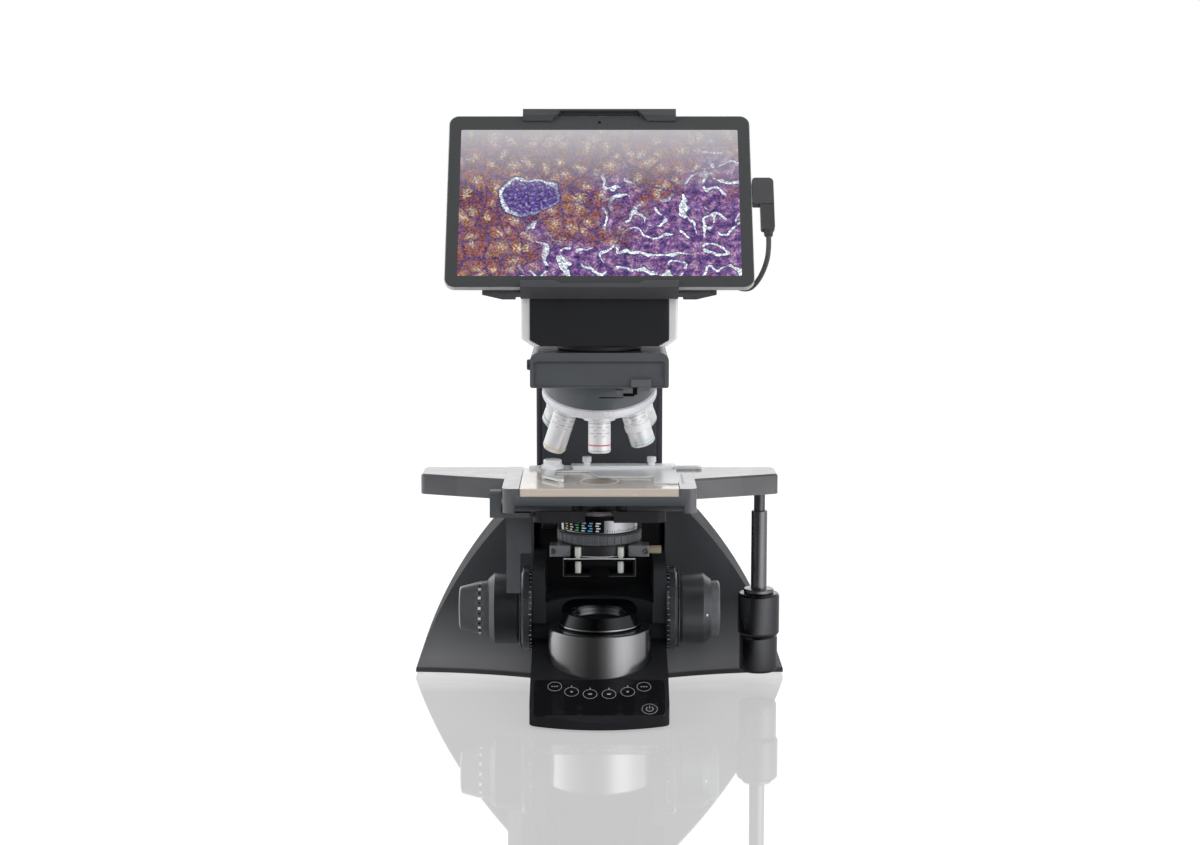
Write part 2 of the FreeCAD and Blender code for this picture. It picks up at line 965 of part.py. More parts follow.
def focus_carriage():
    """Block that rides on the column's dovetail and carries the stage and the condenser."""
    rear = column_front - slide_gap
    front = rear - carriage_depth
    top = carrier_top - carrier_thickness
    block = plate(
        [
            (-carriage_half_width, rear),
            (-carriage_half_width, front, 4.0),
            (carriage_half_width, front, 4.0),
            (carriage_half_width, rear),
        ],
        carriage_bottom, top,
    )
    block = block.cut(guide_form(running_fit))
    rail = condenser_rail(0.0, carriage_bottom + 2, top)
    return block.fuse(rail).removeSplitter()


def condenser_rail(clearance, bottom, top):
    """Small dovetail on the carriage's front for the condenser's bracket."""
    root = column_front - slide_gap - carriage_depth
    tip = root - condenser_rail_depth - clearance
    neck = condenser_rail_half - 3 + clearance
    head = condenser_rail_half + clearance
    return plate(
        [(-neck, root + 1), (-neck, root), (-head, tip), (head, tip), (neck, root), (neck, root + 1)],
        bottom, top,
    )


def stage_carrier():
    """Dark arm under the stage, with the round opening for the condenser."""
    rear = column_front - slide_gap
    bottom = carrier_top - carrier_thickness
    arm = plate(
        [
            (-carrier_half_width, carrier_front, 8.0),
            (carrier_half_width, carrier_front, 8.0),
            (carrier_half_width, 6, 10.0),
            (carriage_half_width, 14, 6.0),
            (carriage_half_width, rear),
            (-carriage_half_width, rear),
            (-carriage_half_width, 14, 6.0),
            (-carrier_half_width, 6, 10.0),
        ],
        bottom, carrier_top,
    )
    arm = arm.cut(upright(0, axis_y, bottom - 1, carrier_top + 1, condenser_radius + 4))
    arm = arm.cut(guide_form(running_fit))
    slot = box(
        -condenser_rail_half - 4, condenser_rail_half + 4,
        column_front - carriage_depth - condenser_rail_depth - 8,
        column_front - carriage_depth - slide_gap,
        bottom - 1, bottom + 3,
    )
    return arm.cut(slot)


def stage_side_plate():
    """Grey plate that hangs under the left edge of the stage, with the bracket at its front."""
    front = side_plate_y
    left = -side_plate_left
    top = frame_bottom
    hanging = front_profile(
        [
            (left, side_plate_bottom, 1.0),
            (left + side_plate_width, side_plate_bottom, 1.0),
            (left + side_plate_width, side_plate_step_z, 1.5),
            (left + side_plate_top_width, side_plate_step_z, 1.0),
            (left + side_plate_top_width, top),
            (left, top),
        ],
        front, front + side_plate_thickness,
    )
    foot_bottom = carrier_top - carrier_thickness
    ledge = box(
        left + side_plate_top_width - 1, -carrier_half_width,
        front, front + 14, foot_bottom, foot_bottom + 5,
    )
    floor_top = bracket_bottom + bracket_wall
    floor = box(
        -bracket_left, left + side_plate_top_width, bracket_front, front + side_plate_thickness,
        bracket_bottom, floor_top,
    )
    lug = side_profile(
        [
            (bracket_front, bracket_bottom, 1.5),
            (front, bracket_bottom),
            (front, floor_top, 3.0),
            (bracket_front + 15, floor_top + 5, 5.0),
            (bracket_front + 15, bracket_top, 3.0),
            (bracket_front, bracket_top, 2.0),
        ],
        -bracket_left, -bracket_left + bracket_width,
    )
    return hanging.fuse([ledge, floor, lug]).removeSplitter()


def stage_frame():
    """Middle frame: posts and a slim beam in front, a bed for the ceramic plate, an opening below."""
    notch = column_half_width + 5.5
    front = ceramic_front - 0.6
    post_round = front_post_width * 0.62
    upper = plate(
        mirror_x([
            (0, wing_root_rear),
            (notch, wing_root_rear, 3.0),
            (notch, wing_rear, 3.0),
            (frame_half_width, wing_rear),
            (frame_half_width, front, post_round),
            (0, front),
        ]),
        stage_top - wing_thickness, stage_top,
    )
    lower = plate(
        mirror_x([
            (0, wing_root_rear),
            (column_half_width + 2, wing_root_rear),
            (frame_half_width, wing_root_front, 2.0),
            (frame_half_width, front, post_round),
            (0, front),
        ]),
        frame_bottom, stage_top - wing_thickness + 1,
    )
    body = upper.fuse(lower)
    half = ceramic_half_width + slide_gap
    bed = box(
        -half, half, ceramic_front - 30, wing_rear + 30,
        ceramic_bottom - running_fit, stage_top + 1,
    )
    half = stage_opening_half
    reach = stage_opening_length / 2
    opening = plate(
        [
            (-half, axis_y - reach, 6.0), (half, axis_y - reach, 6.0),
            (half, axis_y + reach, 6.0), (-half, axis_y + reach, 6.0),
        ],
        frame_bottom - 1, stage_top,
    )
    half = frame_half_width - front_post_width
    recess = box(
        -half, half, front - 1, axis_y - reach,
        frame_bottom - 1, ceramic_bottom - front_beam_height,
    )
    return body.cut(bed).cut(opening).cut(recess).removeSplitter()


def stage_wing(side):
    """One broad wing with softened upper edges and a shallow pad under its root."""
    root = frame_half_width + running_fit
    points = [
        (root, wing_rear),
        (root, wing_root_front),
        (root + wing_bow_reach, wing_front - wing_bow_rise, wing_bow_round),
        (wing_half_span, wing_front, wing_round),
        (wing_half_span, wing_rear, wing_round),
    ]
    wing = plate(points, stage_top - wing_thickness, stage_top)
    wing = soften(
        wing, wing_edge_round,
        lambda edge: level(stage_top)(edge) and edge.BoundBox.XMax > root + 0.01,
    )
    pad = box(
        root, root + wing_pad_reach, wing_front + 4, wing_rear - 4,
        stage_top - wing_thickness - wing_pad_thickness, stage_top - wing_thickness + 1,
    )
    wing = wing.fuse(pad).removeSplitter()
    return wing if side > 0 else wing.mirror(Vector(0, 0, 0), Vector(1, 0, 0))


def stage_plate():
    """Broad plate of three castings: the frame and a wing screwed to either side of it."""
    rod_seat = upright(
        drive_x, drive_y, stage_top - wing_thickness - 1, stage_top - 8, drive_rod_radius + wall_gap,
    )
    return Part.makeCompound([stage_frame(), stage_wing(-1), stage_wing(1).cut(rod_seat)])


def ceramic_plate():
    """Wear-proof plate that carries the specimen and moves to and fro in the stage."""
    half = ceramic_half_width
    slab = plate(
        [
            (-half, ceramic_front, 1.5), (half, ceramic_front, 1.5),
            (half, ceramic_rear), (-half, ceramic_rear),
        ],
        ceramic_bottom, stage_top,
    )
    slab = bevel(slab, 0.5, level(stage_top))
    reach = stage_hole_half_length
    radius = stage_hole_radius
    hole = plate(
        [
            (-radius, axis_y - reach - radius, radius - 0.01),
            (radius, axis_y - reach - radius, radius - 0.01),
            (radius, axis_y + reach + radius, radius - 0.01),
            (-radius, axis_y + reach + radius, radius - 0.01),
        ],
        ceramic_bottom - 1, stage_top + 1,
    )
    step = plate(
        [
            (-radius - 2, axis_y - reach - radius - 2, radius + 1.99),
            (radius + 2, axis_y - reach - radius - 2, radius + 1.99),
            (radius + 2, axis_y + reach + radius + 2, radius + 1.99),
            (-radius - 2, axis_y + reach + radius + 2, radius + 1.99),
        ],
        stage_top - 0.8, stage_top + 1,
    )
    slab = slab.cut(hole).cut(step)
    for side in (-1, 1):
        notch_x = side * (radius + 2.5)
        slab = slab.cut(upright(notch_x, axis_y - 14, stage_top - 1.6, stage_top + 1, 2.0))
    return slab


def specimen_rail():
    """Thin bright bar on the ceramic plate with the long slot that guides the holder."""
    rail = plate(
        [
            (rail_left, rail_front + 3, 3.0),
            (rail_left + 9, rail_front, 2.0),
            (rail_right, rail_front, 2.0),
            (rail_right, rail_front + rail_width, 2.0),
            (rail_left, rail_front + rail_width, 2.0),
        ],
        stage_top, stage_top + rail_thickness,
    )
    middle = rail_front + rail_width / 2
    half = rail_slot_width / 2
    slot = plate(
        [
            (rail_left + 4, middle - half, half - 0.01),
            (rail_right - 3, middle - half, half - 0.01),
            (rail_right - 3, middle + half, half - 0.01),
            (rail_left + 4, middle + half, half - 0.01),
        ],
        stage_top - 1, stage_top + rail_thickness + 1,
    )
    lift = box(
        ceramic_half_width - 0.5, rail_right + 1, rail_front - 1, rail_front + rail_width + 1,
        stage_top - 1, stage_top + slide_gap,
    )
    return rail.cut(slot).cut(lift)


def holder_level():
    return stage_top + rail_thickness + slide_gap


def slide_holder():
    """Flat holder on the rail: one fixed arm, the clip's pivot and two knurled screws."""
    base = holder_level()
    rail_rear = rail_front + rail_width
    slide_right = slide_left + slide_length
    arm_right = slide_right + holder_arm_width
    slide_rear = axis_y + slide_width / 2
    bar = plate(
        [
            (screw_left_x - 14, rail_front - 4, 1.5),
            (arm_right, rail_front - 4, 2.0),
            (arm_right, rail_rear, 2.0),
            (screw_left_x - 14, rail_rear, 2.0),
        ],
        base, base + holder_thickness,
    )
    low = stage_top + slide_gap
    arm = plate(
        [
            (clip_pivot_x - 7, clip_pivot_y - 6, 3.0),
            (slide_left + 20, clip_pivot_y - 6, 2.0),
            (slide_left + 30, slide_rear, 2.0),
            (slide_right, slide_rear, 1.0),
            (slide_right, axis_y - 17, 1.0),
            (arm_right, axis_y - 22, 4.0),
            (arm_right, rail_front - slide_gap - 1.5),
            (clip_pivot_x - 7, rail_front - slide_gap - 1.5, 3.0),
        ],
        low, low + 1.2,
    )
    riser = box(
        screw_left_x - 12, arm_right - 3, rail_front - 4, rail_front - slide_gap - 1.5,
        low + 0.6, base + 0.6,
    )
    body = bar.fuse([arm, riser])
    pin = upright(clip_pivot_x, clip_pivot_y, low + 0.6, base + 2.6, clip_pin_radius)
    middle = rail_front + rail_width / 2
    for x in (screw_left_x, screw_right_x):
        stem = upright(x, middle, stage_top + slide_gap, base + 1, rail_slot_width / 2 - 0.1)
        neck = upright(x, middle, base + 1, base + 3.6, screw_radius - 1.0)
        head = knurled_head(x, middle, base + 3.6)
        body = body.fuse([stem, neck, head])
    return body.fuse(pin).removeSplitter()


def knurled_head(x, y, bottom):
    """Screw head with straight grip flutes."""
    head = upright(x, y, bottom, bottom + screw_height, screw_radius)
    head = bevel(head, 0.5, level(bottom + screw_height))
    flutes = 12
    for index in range(flutes):
        angle = index * 2 * math.pi / flutes
        flute_x = x + math.cos(angle) * (screw_radius + 0.35)
        flute_y = y + math.sin(angle) * (screw_radius + 0.35)
        head = head.cut(upright(flute_x, flute_y, bottom - 1, bottom + screw_height + 1, 0.6))
    return head


def clip_lever():
    """Sprung finger with a round grip; its peg presses the slide into the corner."""
    low = stage_top + slide_gap + 1.2 + slide_gap
    top = holder_level() + holder_thickness
    peg_x = slide_left - 2.4
    peg_y = axis_y - slide_width / 2 + 3
    half = clip_arm_width / 2
    arm = plate(
        [
            (clip_pivot_x - half, clip_pivot_y, 2.0),
            (clip_pivot_x - half - 4, axis_y + 6, 8.0),
            (peg_x - 3.0, peg_y - 3.4, 2.4),
            (peg_x + 2.2, peg_y - 3.4, 2.0),
            (peg_x + 2.2, peg_y + 2.5, 2.0),
            (clip_pivot_x + half - 3, axis_y + 10, 6.0),
            (clip_pivot_x + half, clip_pivot_y, 2.0),
        ],
        low, top - 0.6,
    )
    hub = upright(clip_pivot_x, clip_pivot_y, low, top, clip_base_radius / 2)
    base_bottom = holder_level() + wall_gap
    base_top = base_bottom + clip_base_height
    base = upright(clip_pivot_x, clip_pivot_y, base_bottom, base_top, clip_base_radius)
    base = soften(base, 0.8, level(base_top))
    peg = upright(peg_x, peg_y, stage_top + slide_gap, low + 0.5, 2.0)
    disc_top = base_top + clip_disc_height
    disc = upright(clip_pivot_x, clip_pivot_y, base_top - 0.5, disc_top, clip_disc_radius)
    disc = soften(disc, 1.4, level(disc_top))
    body = arm.fuse([hub, peg, base, disc])
    bore = upright(
        clip_pivot_x, clip_pivot_y, low - 1, holder_level() + 2.6 + slide_gap,
        clip_pin_radius + running_fit,
    )
    return body.cut(bore).removeSplitter()


# Stage drive

def drive_rod():
    """Thin rod fixed in the wing, on which the drive tube telescopes."""
    return upright(
        drive_x, drive_y, upper_knob_bottom(), stage_top - 8 - wall_gap, drive_rod_radius,
    )


def upper_knob_bottom():
    return drive_bottom + lower_knob_height + slide_gap


def upper_knob_top():
    return upper_knob_bottom() + upper_knob_height


def drive_tube():
    """Sleeve that slides on the rod, with the collar above the knobs."""
    collar_bottom = upper_knob_top() + slide_gap
    tube = turned(
        [
            (drive_rod_radius + running_fit, drive_bottom + 4),
            (drive_tube_radius, drive_bottom + 4),
            (drive_tube_radius, collar_bottom),
            (drive_collar_radius, collar_bottom, 0.6),
            (drive_collar_radius, collar_bottom + drive_collar_height, 1.0),
            (drive_tube_radius, collar_bottom + drive_collar_height + 0.6),
            (drive_tube_radius, drive_tube_top, 1.0),
            (drive_rod_radius + running_fit, drive_tube_top),
        ],
        Vector(drive_x, drive_y, 0), Vector(0, 0, 1),
    )
    return tube


def drive_knob(bottom, height, radius, floor):
    """Tall knob on the tube, waisted at its ends."""
    bore = drive_tube_radius + running_fit
    top = bottom + height
    points = [
        (bore, bottom + floor),
        (bore, top),
        (radius - 1.4, top, 0.5),
        (radius, top - 2.2, 0.8),
        (radius, bottom + 2.2, 0.8),
        (radius - 1.2, bottom, 0.5),
    ]
    if floor > 0:
        points = [(0, bottom + floor)] + points + [(0, bottom)]
    else:
        points = points[1:] + [(bore, bottom)]
    return turned(points, Vector(drive_x, drive_y, 0), Vector(0, 0, 1))


def y_knob():
    return drive_knob(upper_knob_bottom(), upper_knob_height, upper_knob_radius, 0.0)


def x_knob():
    return drive_knob(drive_bottom, lower_knob_height, lower_knob_radius, 3.0)


# Condenser

def condenser_body():
    """Bright condenser: tapered rim, narrow nose, dark barrel below and two posts."""
    bore = 15.0
    body = turned(
        [
            (bore, carrier_ring_z),
            (condenser_barrel_radius, carrier_ring_z),
            (condenser_barrel_radius, condenser_bottom - 0.3),
            (condenser_radius - 0.4, condenser_bottom - 0.3),
            (condenser_radius, condenser_bottom + 0.6),
            (condenser_radius, condenser_rim_z, 1.0),
            (condenser_nose_radius + 5, condenser_rim_z + 2.5, 1.5),
            (condenser_nose_radius, condenser_nose_z, 1.5),
            (bore, condenser_nose_z),
        ],
        Vector(0, axis_y, 0), Vector(0, 0, 1),
    )
    for side in (-1, 1):
        x = side * condenser_post_x
        y = axis_y - carrier_ring_radius + 2.0
        post = upright(x, y, condenser_post_bottom, carrier_ring_z + 1, condenser_post_radius)
        post = bevel(post, 0.7, level(condenser_post_bottom))
        arm = box(
            x - 3, x + 3, y - 2, axis_y - condenser_barrel_radius + 6,
            carrier_ring_z, carrier_ring_z + 1,
        )
        body = body.fuse([post, arm])
    return body.removeSplitter()


def condenser_lens():
    """Top glass of the condenser."""
    radius = 15.0 - wall_gap
    top = condenser_nose_z - 0.4
    rise = 1.2
    curve = (radius ** 2 + rise ** 2) / (2 * rise)
    ball = Part.makeSphere(curve, Vector(0, axis_y, top - curve))
    return upright(0, axis_y, top - 6, top + 1, radius).common(ball)


def aperture_ring():
    """Knurled ring that sets the condenser aperture."""
    bottom = condenser_bottom - 0.3 - slide_gap - aperture_height
    top = condenser_bottom - 0.3 - slide_gap
    ring = turned(
        [
            (condenser_barrel_radius + running_fit, bottom),
            (aperture_radius - 1.0, bottom),
            (aperture_radius, bottom + 1.2),
            (aperture_radius, top - 1.2),
            (aperture_radius - 1.4, top),
            (condenser_barrel_radius + running_fit, top),
        ],
        Vector(0, axis_y, 0), Vector(0, 0, 1),
    )
    grips = 36
    for index in range(grips):
        angle = index * 2 * math.pi / grips
        x = math.cos(angle) * (aperture_radius + 0.5)
        y = axis_y + math.sin(angle) * (aperture_radius + 0.5)
        ring = ring.cut(upright(x, y, bottom - 1, top + 1, 1.1))
    return ring


def condenser_carrier():
    """Fork that holds the condenser and slides on the carriage's small dovetail."""
    top = carrier_ring_z + carrier_ring_height
    ring = upright(0, axis_y, carrier_ring_z, top, carrier_ring_radius)
    root = column_front - slide_gap - carriage_depth
    stem = box(-15, 15, axis_y + 20, root - slide_gap, carrier_ring_z, top)
    body = ring.fuse(stem)
    for side in (-1, 1):
        block = plate(
            [
                (side * 24.0, axis_y - 30, 1.0),
                (side * 42.0, axis_y - 30, 1.0),
                (side * 42.0, axis_y - 12, 1.0),
                (side * 24.0, axis_y - 12, 1.0),
            ][::side],
            carrier_ring_z, top,
        )
        body = body.fuse(block)
    body = body.cut(upright(0, axis_y, carrier_ring_z - 1, top + 1, condenser_barrel_radius + wall_gap))
    body = body.cut(condenser_rail(running_fit, carrier_ring_z - 1, top + 1))
    shaft_y = axis_y - 22
    shaft_z = carrier_ring_z + carrier_ring_height / 2
    body = body.cut(crosswise(30, 60, shaft_y, shaft_z, 1.5 + running_fit))
    for side in (-1, 1):
        arm = box(
            side * condenser_post_x - 3 - wall_gap, side * condenser_post_x + 3 + wall_gap,
            axis_y - 60, axis_y - 20, carrier_ring_z - 1, carrier_ring_z + 1 + wall_gap,
        )
        body = body.cut(arm)
    return body.removeSplitter()


def condenser_cage():
    """Open frame under the condenser, hung on the two bright posts."""
    front = axis_y - carrier_ring_radius - 2.5
    top = carrier_ring_z - slide_gap
    half = cage_half_width
    outer = plate(
        [
            (-half, front, 2.0), (half, front, 2.0),
            (half, cage_rear, 2.0), (-half, cage_rear, 2.0),
        ],
        cage_bottom, top,
    )
    window = box(-half + 2.5, half - 2.5, front - 1, cage_rear + 1, cage_bottom + 2.5, top - 2.5)
    body = outer.cut(window)
    body = body.cut(upright(0, axis_y, cage_bottom - 1, top + 1, 20))
    front_gap = box(-8, 8, front - 1, axis_y, cage_bottom - 1, cage_bottom + 4)
    body = body.cut(front_gap)
    for side in (-1, 1):
        x = side * condenser_post_x
        y = axis_y - carrier_ring_radius + 2.0
        body = body.cut(upright(x, y, cage_bottom - 1, top + 1, condenser_post_radius + wall_gap))
    return body


def condenser_knob():
    """Knob on the left of the carriage that lifts the condenser."""
    left = -carriage_half_width - slide_gap - condenser_knob_length
    y = column_front - slide_gap - carriage_depth / 2
    z = carriage_bottom + 18
    knob = turned(
        [
            (0, 0), (condenser_knob_radius, 0, 0.8),
            (condenser_knob_radius, condenser_knob_length, 1.0), (0, condenser_knob_length),
        ],
        Vector(left, y, z), Vector(1, 0, 0),
    )
    return knob


def centring_screw():
    """Small brass grip on the right of the fork that centres the condenser."""
    y = axis_y - 22
    z = carrier_ring_z + carrier_ring_height / 2
    start = 42.0 + slide_gap
    grip = crosswise(start, start + centring_knob_length, y, z, centring_knob_radius)
    flutes = 14
    for index in range(flutes):
        angle = index * 2 * math.pi / flutes
        flute_y = y + math.cos(angle) * (centring_knob_radius + 0.3)
        flute_z = z + math.sin(angle) * (centring_knob_radius + 0.3)
        grip = grip.cut(crosswise(start + 1.5, start + centring_knob_length + 1, flute_y, flute_z, 0.55))
    shaft = crosswise(31.0, start + 1, y, z, 1.5)
    return grip.fuse(shaft).removeSplitter()


# Head and nosepiece

def nose_axis():
    """Downward direction of the turret's axis."""
    return Vector(0, math.sin(tilt_angle), -math.cos(tilt_angle))


def nose_centre():
    """Middle of the circle on which the six objective seats lie."""
    return Vector(
        0,
        axis_y + seat_circle * math.cos(tilt_angle),
        seat_z + seat_circle * math.sin(tilt_angle),
    )


def nose_along(distance):
    return nose_centre() + nose_axis() * distance


def seat_direction(index):
    """Seat point and pointing direction of one objective."""
    outward = Vector(0, -math.cos(tilt_angle), -math.sin(tilt_angle))
    turn = FreeCAD.Rotation(nose_axis(), index * 60.0)
    radial = turn.multVec(outward)
    point = nose_centre() + radial * seat_circle
    direction = nose_axis() * math.cos(tilt_angle) + radial * math.sin(tilt_angle)
    return point, direction


def band_top():
    """Distance along the nose axis of the turret's upper face (negative is up)."""
    edge_drop = (turret_radius - seat_circle) * math.tan(tilt_angle)
    return -edge_drop - turret_band


def head_solid():
    """Head block with rounded shoulders, the camera's seat and the turret's hollow."""
    front = head_front
    body = front_profile(
        [
            (-head_half_width, head_bottom, 2.0),
            (head_half_width, head_bottom, 2.0),
            (head_half_width, head_top, head_round),
            (-head_half_width, head_top, head_round),
        ],
        front, column_rear,
    )
    hollow_top = band_top() - mount_thickness
    hollow = Part.makeCylinder(
        turret_radius + 1.2, 80, nose_along(hollow_top), nose_axis(),
    )
    seat = upright(0, axis_y, head_top - spigot_depth, head_top + 1, spigot_radius + running_fit)
    light = upright(0, axis_y, head_bottom - 1, head_top, 19.0)
    return body.cut(hollow).cut(seat).cut(light)


def head_block():
    """Head with a shallow panel sunk into its front and the clamp screw's bore."""
    body = head_solid()
    inset = head_panel_inset
    panel = front_profile(
        [
            (-head_half_width + inset, head_bottom + 1.0, 1.5),
            (head_half_width - inset, head_bottom + 1.0, 1.5),
            (head_half_width - inset, head_top - inset - 3.5, 3.0),
            (-head_half_width + inset, head_top - inset - 3.5, 3.0),
        ],
        head_front - 1, head_front + head_panel_depth,
    )
    body = body.cut(panel)
    bore = crosswise(
        -head_half_width - 1, -spigot_radius + 1, axis_y, clamp_z, clamp_shaft_radius + running_fit,
    )
    return body.cut(bore)


def nosepiece_mount():
    """Fixed disc under the head that carries the turret."""
    top = band_top() - mount_thickness
    disc = Part.makeCylinder(
        turret_radius - 0.8, mount_thickness - slide_gap, nose_along(top), nose_axis(),
    )
    crown = Part.makeCylinder(turret_radius - 0.8, 40, nose_along(top - 40), nose_axis())
    reach = turret_radius * 2
    below_head = box(-reach, reach, axis_y - reach, axis_y + reach, head_bottom - reach, head_bottom)
    body = disc.fuse(crown.common(below_head))
    body = body.cut(Part.makeCylinder(
        pivot_radius + running_fit, 60, nose_along(top - 20), nose_axis(),
    ))
    body = body.cut(upright(0, axis_y, seat_z, head_bottom + 1, 12.0))
    return body.cut(head_solid()).removeSplitter()


def nosepiece_turret():
    """Bright revolver: band, cone with six seats, and the pivot."""
    top = band_top()
    rim = top + turret_band
    cone_foot = 15.0
    cone_drop = (seat_circle - cone_foot) * math.tan(tilt_angle)
    body = turned(
        [
            (0, top),
            (turret_radius - 1.0, top),
            (turret_radius, top + 1.0),
            (turret_radius, rim - 0.6, 0.6),
            (cone_foot, cone_drop, 3.0),
            (0, cone_drop),
        ],
        nose_centre(), nose_axis(),
    )
    pivot = Part.makeCylinder(
        pivot_radius, mount_thickness - 1.0, nose_along(top - mount_thickness + 1.0), nose_axis(),
    )
    body = body.fuse(pivot)
    for index in range(len(objective_sizes)):
        point, direction = seat_direction(index)
        boss = Part.makeCylinder(seat_boss_radius, 5, point - direction * 5, direction)
        body = body.fuse(boss)
    for index in range(len(objective_sizes)):
        point, direction = seat_direction(index)
        bore = Part.makeCylinder(
            objective_thread_radius + wall_gap, 40, point - direction * 30, direction,
        )
        body = body.cut(bore)
    return body.removeSplitter()


def objective(index):
    """One objective: thread, flange, waist, barrel and tapered tip with its front lens."""
    length, barrel, tip, tip_length = objective_sizes[index]
    point, direction = seat_direction(index)
    thread = objective_thread_radius
    flange = barrel + 4.0
    if flange > seat_boss_radius - 0.4:
        flange = seat_boss_radius - 0.4
    return turned(
        [
            (0, -4.0),
            (thread, -4.0),
            (thread, 0),
            (flange, 0),
            (flange, 2.6, 0.4),
            (barrel - 1.0, 2.6),
            (barrel - 1.0, 3.5),
            (barrel, 3.5, 0.3),
            (barrel, length - tip_length, 0.6),
            (tip, length - 0.8, 0.5),
            (tip * 0.5, length - 0.8),
            (tip * 0.35, length),
            (0, length),
        ],
        point, direction,
    )


# Camera

def camera_dovetail():
    """Round flange and spigot by which the camera turns in the head."""
    top = camera_bottom
    return turned(
        [
            (19.0, head_top - spigot_depth + slide_gap),
            (spigot_radius, head_top - spigot_depth + slide_gap),
            (spigot_radius, head_top + slide_gap),
            (dovetail_radius - 1.0, head_top + slide_gap),
            (dovetail_radius, head_top + slide_gap + 1.2),
            (dovetail_radius, top - 1.0),
            (dovetail_radius - 1.0, top),
            (19.0, top),
        ],
        Vector(0, axis_y, 0), Vector(0, 0, 1),
    )


def camera_housing():
    """Bright camera casing with chamfered lower corners and softened edges."""
    half = camera_half_width
    casing = front_profile(
        [
            (-half + camera_round, camera_bottom, 1.5),
            (half - camera_round, camera_bottom, 1.5),
            (half, camera_bottom + camera_round * 0.7, 3.0),
            (half, camera_top, 4.0),
            (-half, camera_top, 4.0),
            (-half, camera_bottom + camera_round * 0.7, 3.0),
        ],
        camera_front, camera_rear,
    )
    casing = soften(casing, 2.0, facing(camera_front))
    casing = soften(casing, 3.0, facing(camera_rear))
    socket = usb_socket_hole(camera_plug_x, camera_rear)
    return casing.cut(socket)


def usb_socket_hole(x, y):
    return box(x - 4.6, x + 4.6, y - 7, y + 1, camera_plug_z - 1.7, camera_plug_z + 1.7)


def camera_front_panel():
    """Dark front plate with chamfered lower corners."""
    half = camera_panel_half_width
    panel = front_profile(
        [
            (-half + 9, camera_bottom + 0.4, 1.5),
            (half - 9, camera_bottom + 0.4, 1.5),
            (half, camera_bottom + 5.5, 1.5),
            (half, camera_top - 1.5, 2.0),
            (-half, camera_top - 1.5, 2.0),
            (-half, camera_bottom + 5.5, 1.5),
        ],
        camera_front - camera_panel_thickness, camera_front,
    )
    return bevel(panel, 0.8, facing(camera_front - camera_panel_thickness))


def camera_clamp_screw():
    """Screw through the head's left side that locks the camera's spigot."""
    outside = -head_half_width - slide_gap
    knob = turned(
        [
            (0, 0), (clamp_knob_radius - 0.6, 0), (clamp_knob_radius, 0.8),
            (clamp_knob_radius, 3.4), (0, 3.4),
        ],
        Vector(outside - 3.4, axis_y, clamp_z), Vector(1, 0, 0),
    )
    shaft = crosswise(outside - 1, -spigot_radius - slide_gap, axis_y, clamp_z, clamp_shaft_radius)
    return knob.fuse(shaft).removeSplitter()


# Tablet and cradle, drawn upright and then leaned back

def leaned(shape):
    """Move a shape from the tablet's own frame (X, back, up) into place."""
    shape.rotate(Vector(0, 0, 0), Vector(1, 0, 0), -tablet_lean)
    shape.translate(Vector(0, tablet_foot_y, tablet_foot_z))
    return shape


def tablet_point(x, back, up):
    """Place in the object of a point in the tablet's own frame."""
    y = tablet_foot_y + up * math.sin(lean) + back * math.cos(lean)
    z = tablet_foot_z + up * math.cos(lean) - back * math.sin(lean)
    return Vector(x, y, z)


def tablet_outline(inset, radius):
    half = tablet_width / 2 - inset
    return [
        (-half, inset, radius),
        (half, inset, radius),
        (half, tablet_height - inset, radius),
        (-half, tablet_height - inset, radius),
    ]


def tablet_shell():
    """Metal back of the tablet with a rounded rim."""
    shell = front_profile(tablet_outline(0.0, tablet_round), bezel_thickness, tablet_thickness)
    shell = soften(shell, tablet_rim, facing(tablet_thickness))
    socket = box(
        tablet_width / 2 - 8, tablet_width / 2 + 1,
        tablet_thickness / 2 - 1.4, tablet_thickness / 2 + 1.6, plug_up - 4.6, plug_up + 4.6,
    )
    return leaned(shell.cut(socket))


def tablet_glass():
    """Front glass of the tablet."""
    glass = front_profile(tablet_outline(0.5, tablet_round - 0.5), 0.0, bezel_thickness)
    return leaned(bevel(glass, 0.3, facing(0.0)))


def cradle_bracket():
    """Plate on the camera's top with two ears and the tilt pin."""
    pivot = tablet_point(0, tilt_back, tilt_up)
    ear_inner = tilt_lug_half_width + slide_gap
    ear_outer = ear_inner + bracket_ear_width
    base = plate(
        [
            (-bracket_half_width, pivot.y - bracket_front_reach, 4.0),
            (bracket_half_width, pivot.y - bracket_front_reach, 4.0),
            (bracket_half_width, pivot.y + bracket_rear_reach, 6.0),
            (-bracket_half_width, pivot.y + bracket_rear_reach, 6.0),
        ],
        camera_top, camera_top + 3.0,
    )
    body = base
    for side in (-1, 1):
        left = ear_inner if side > 0 else -ear_outer
        ear = side_profile(
            [
                (pivot.y - 7, camera_top + 1),
                (pivot.y + 26, camera_top + 1),
                (pivot.y + 5.5, pivot.z + 5.5, 5.0),
                (pivot.y - 7, pivot.z + 7, 5.0),
            ],
            left, left + bracket_ear_width,
        )
        body = body.fuse(ear)
    pin = crosswise(-ear_outer, ear_outer, pivot.y, pivot.z, tilt_pin_radius)
    return body.fuse(pin).removeSplitter()


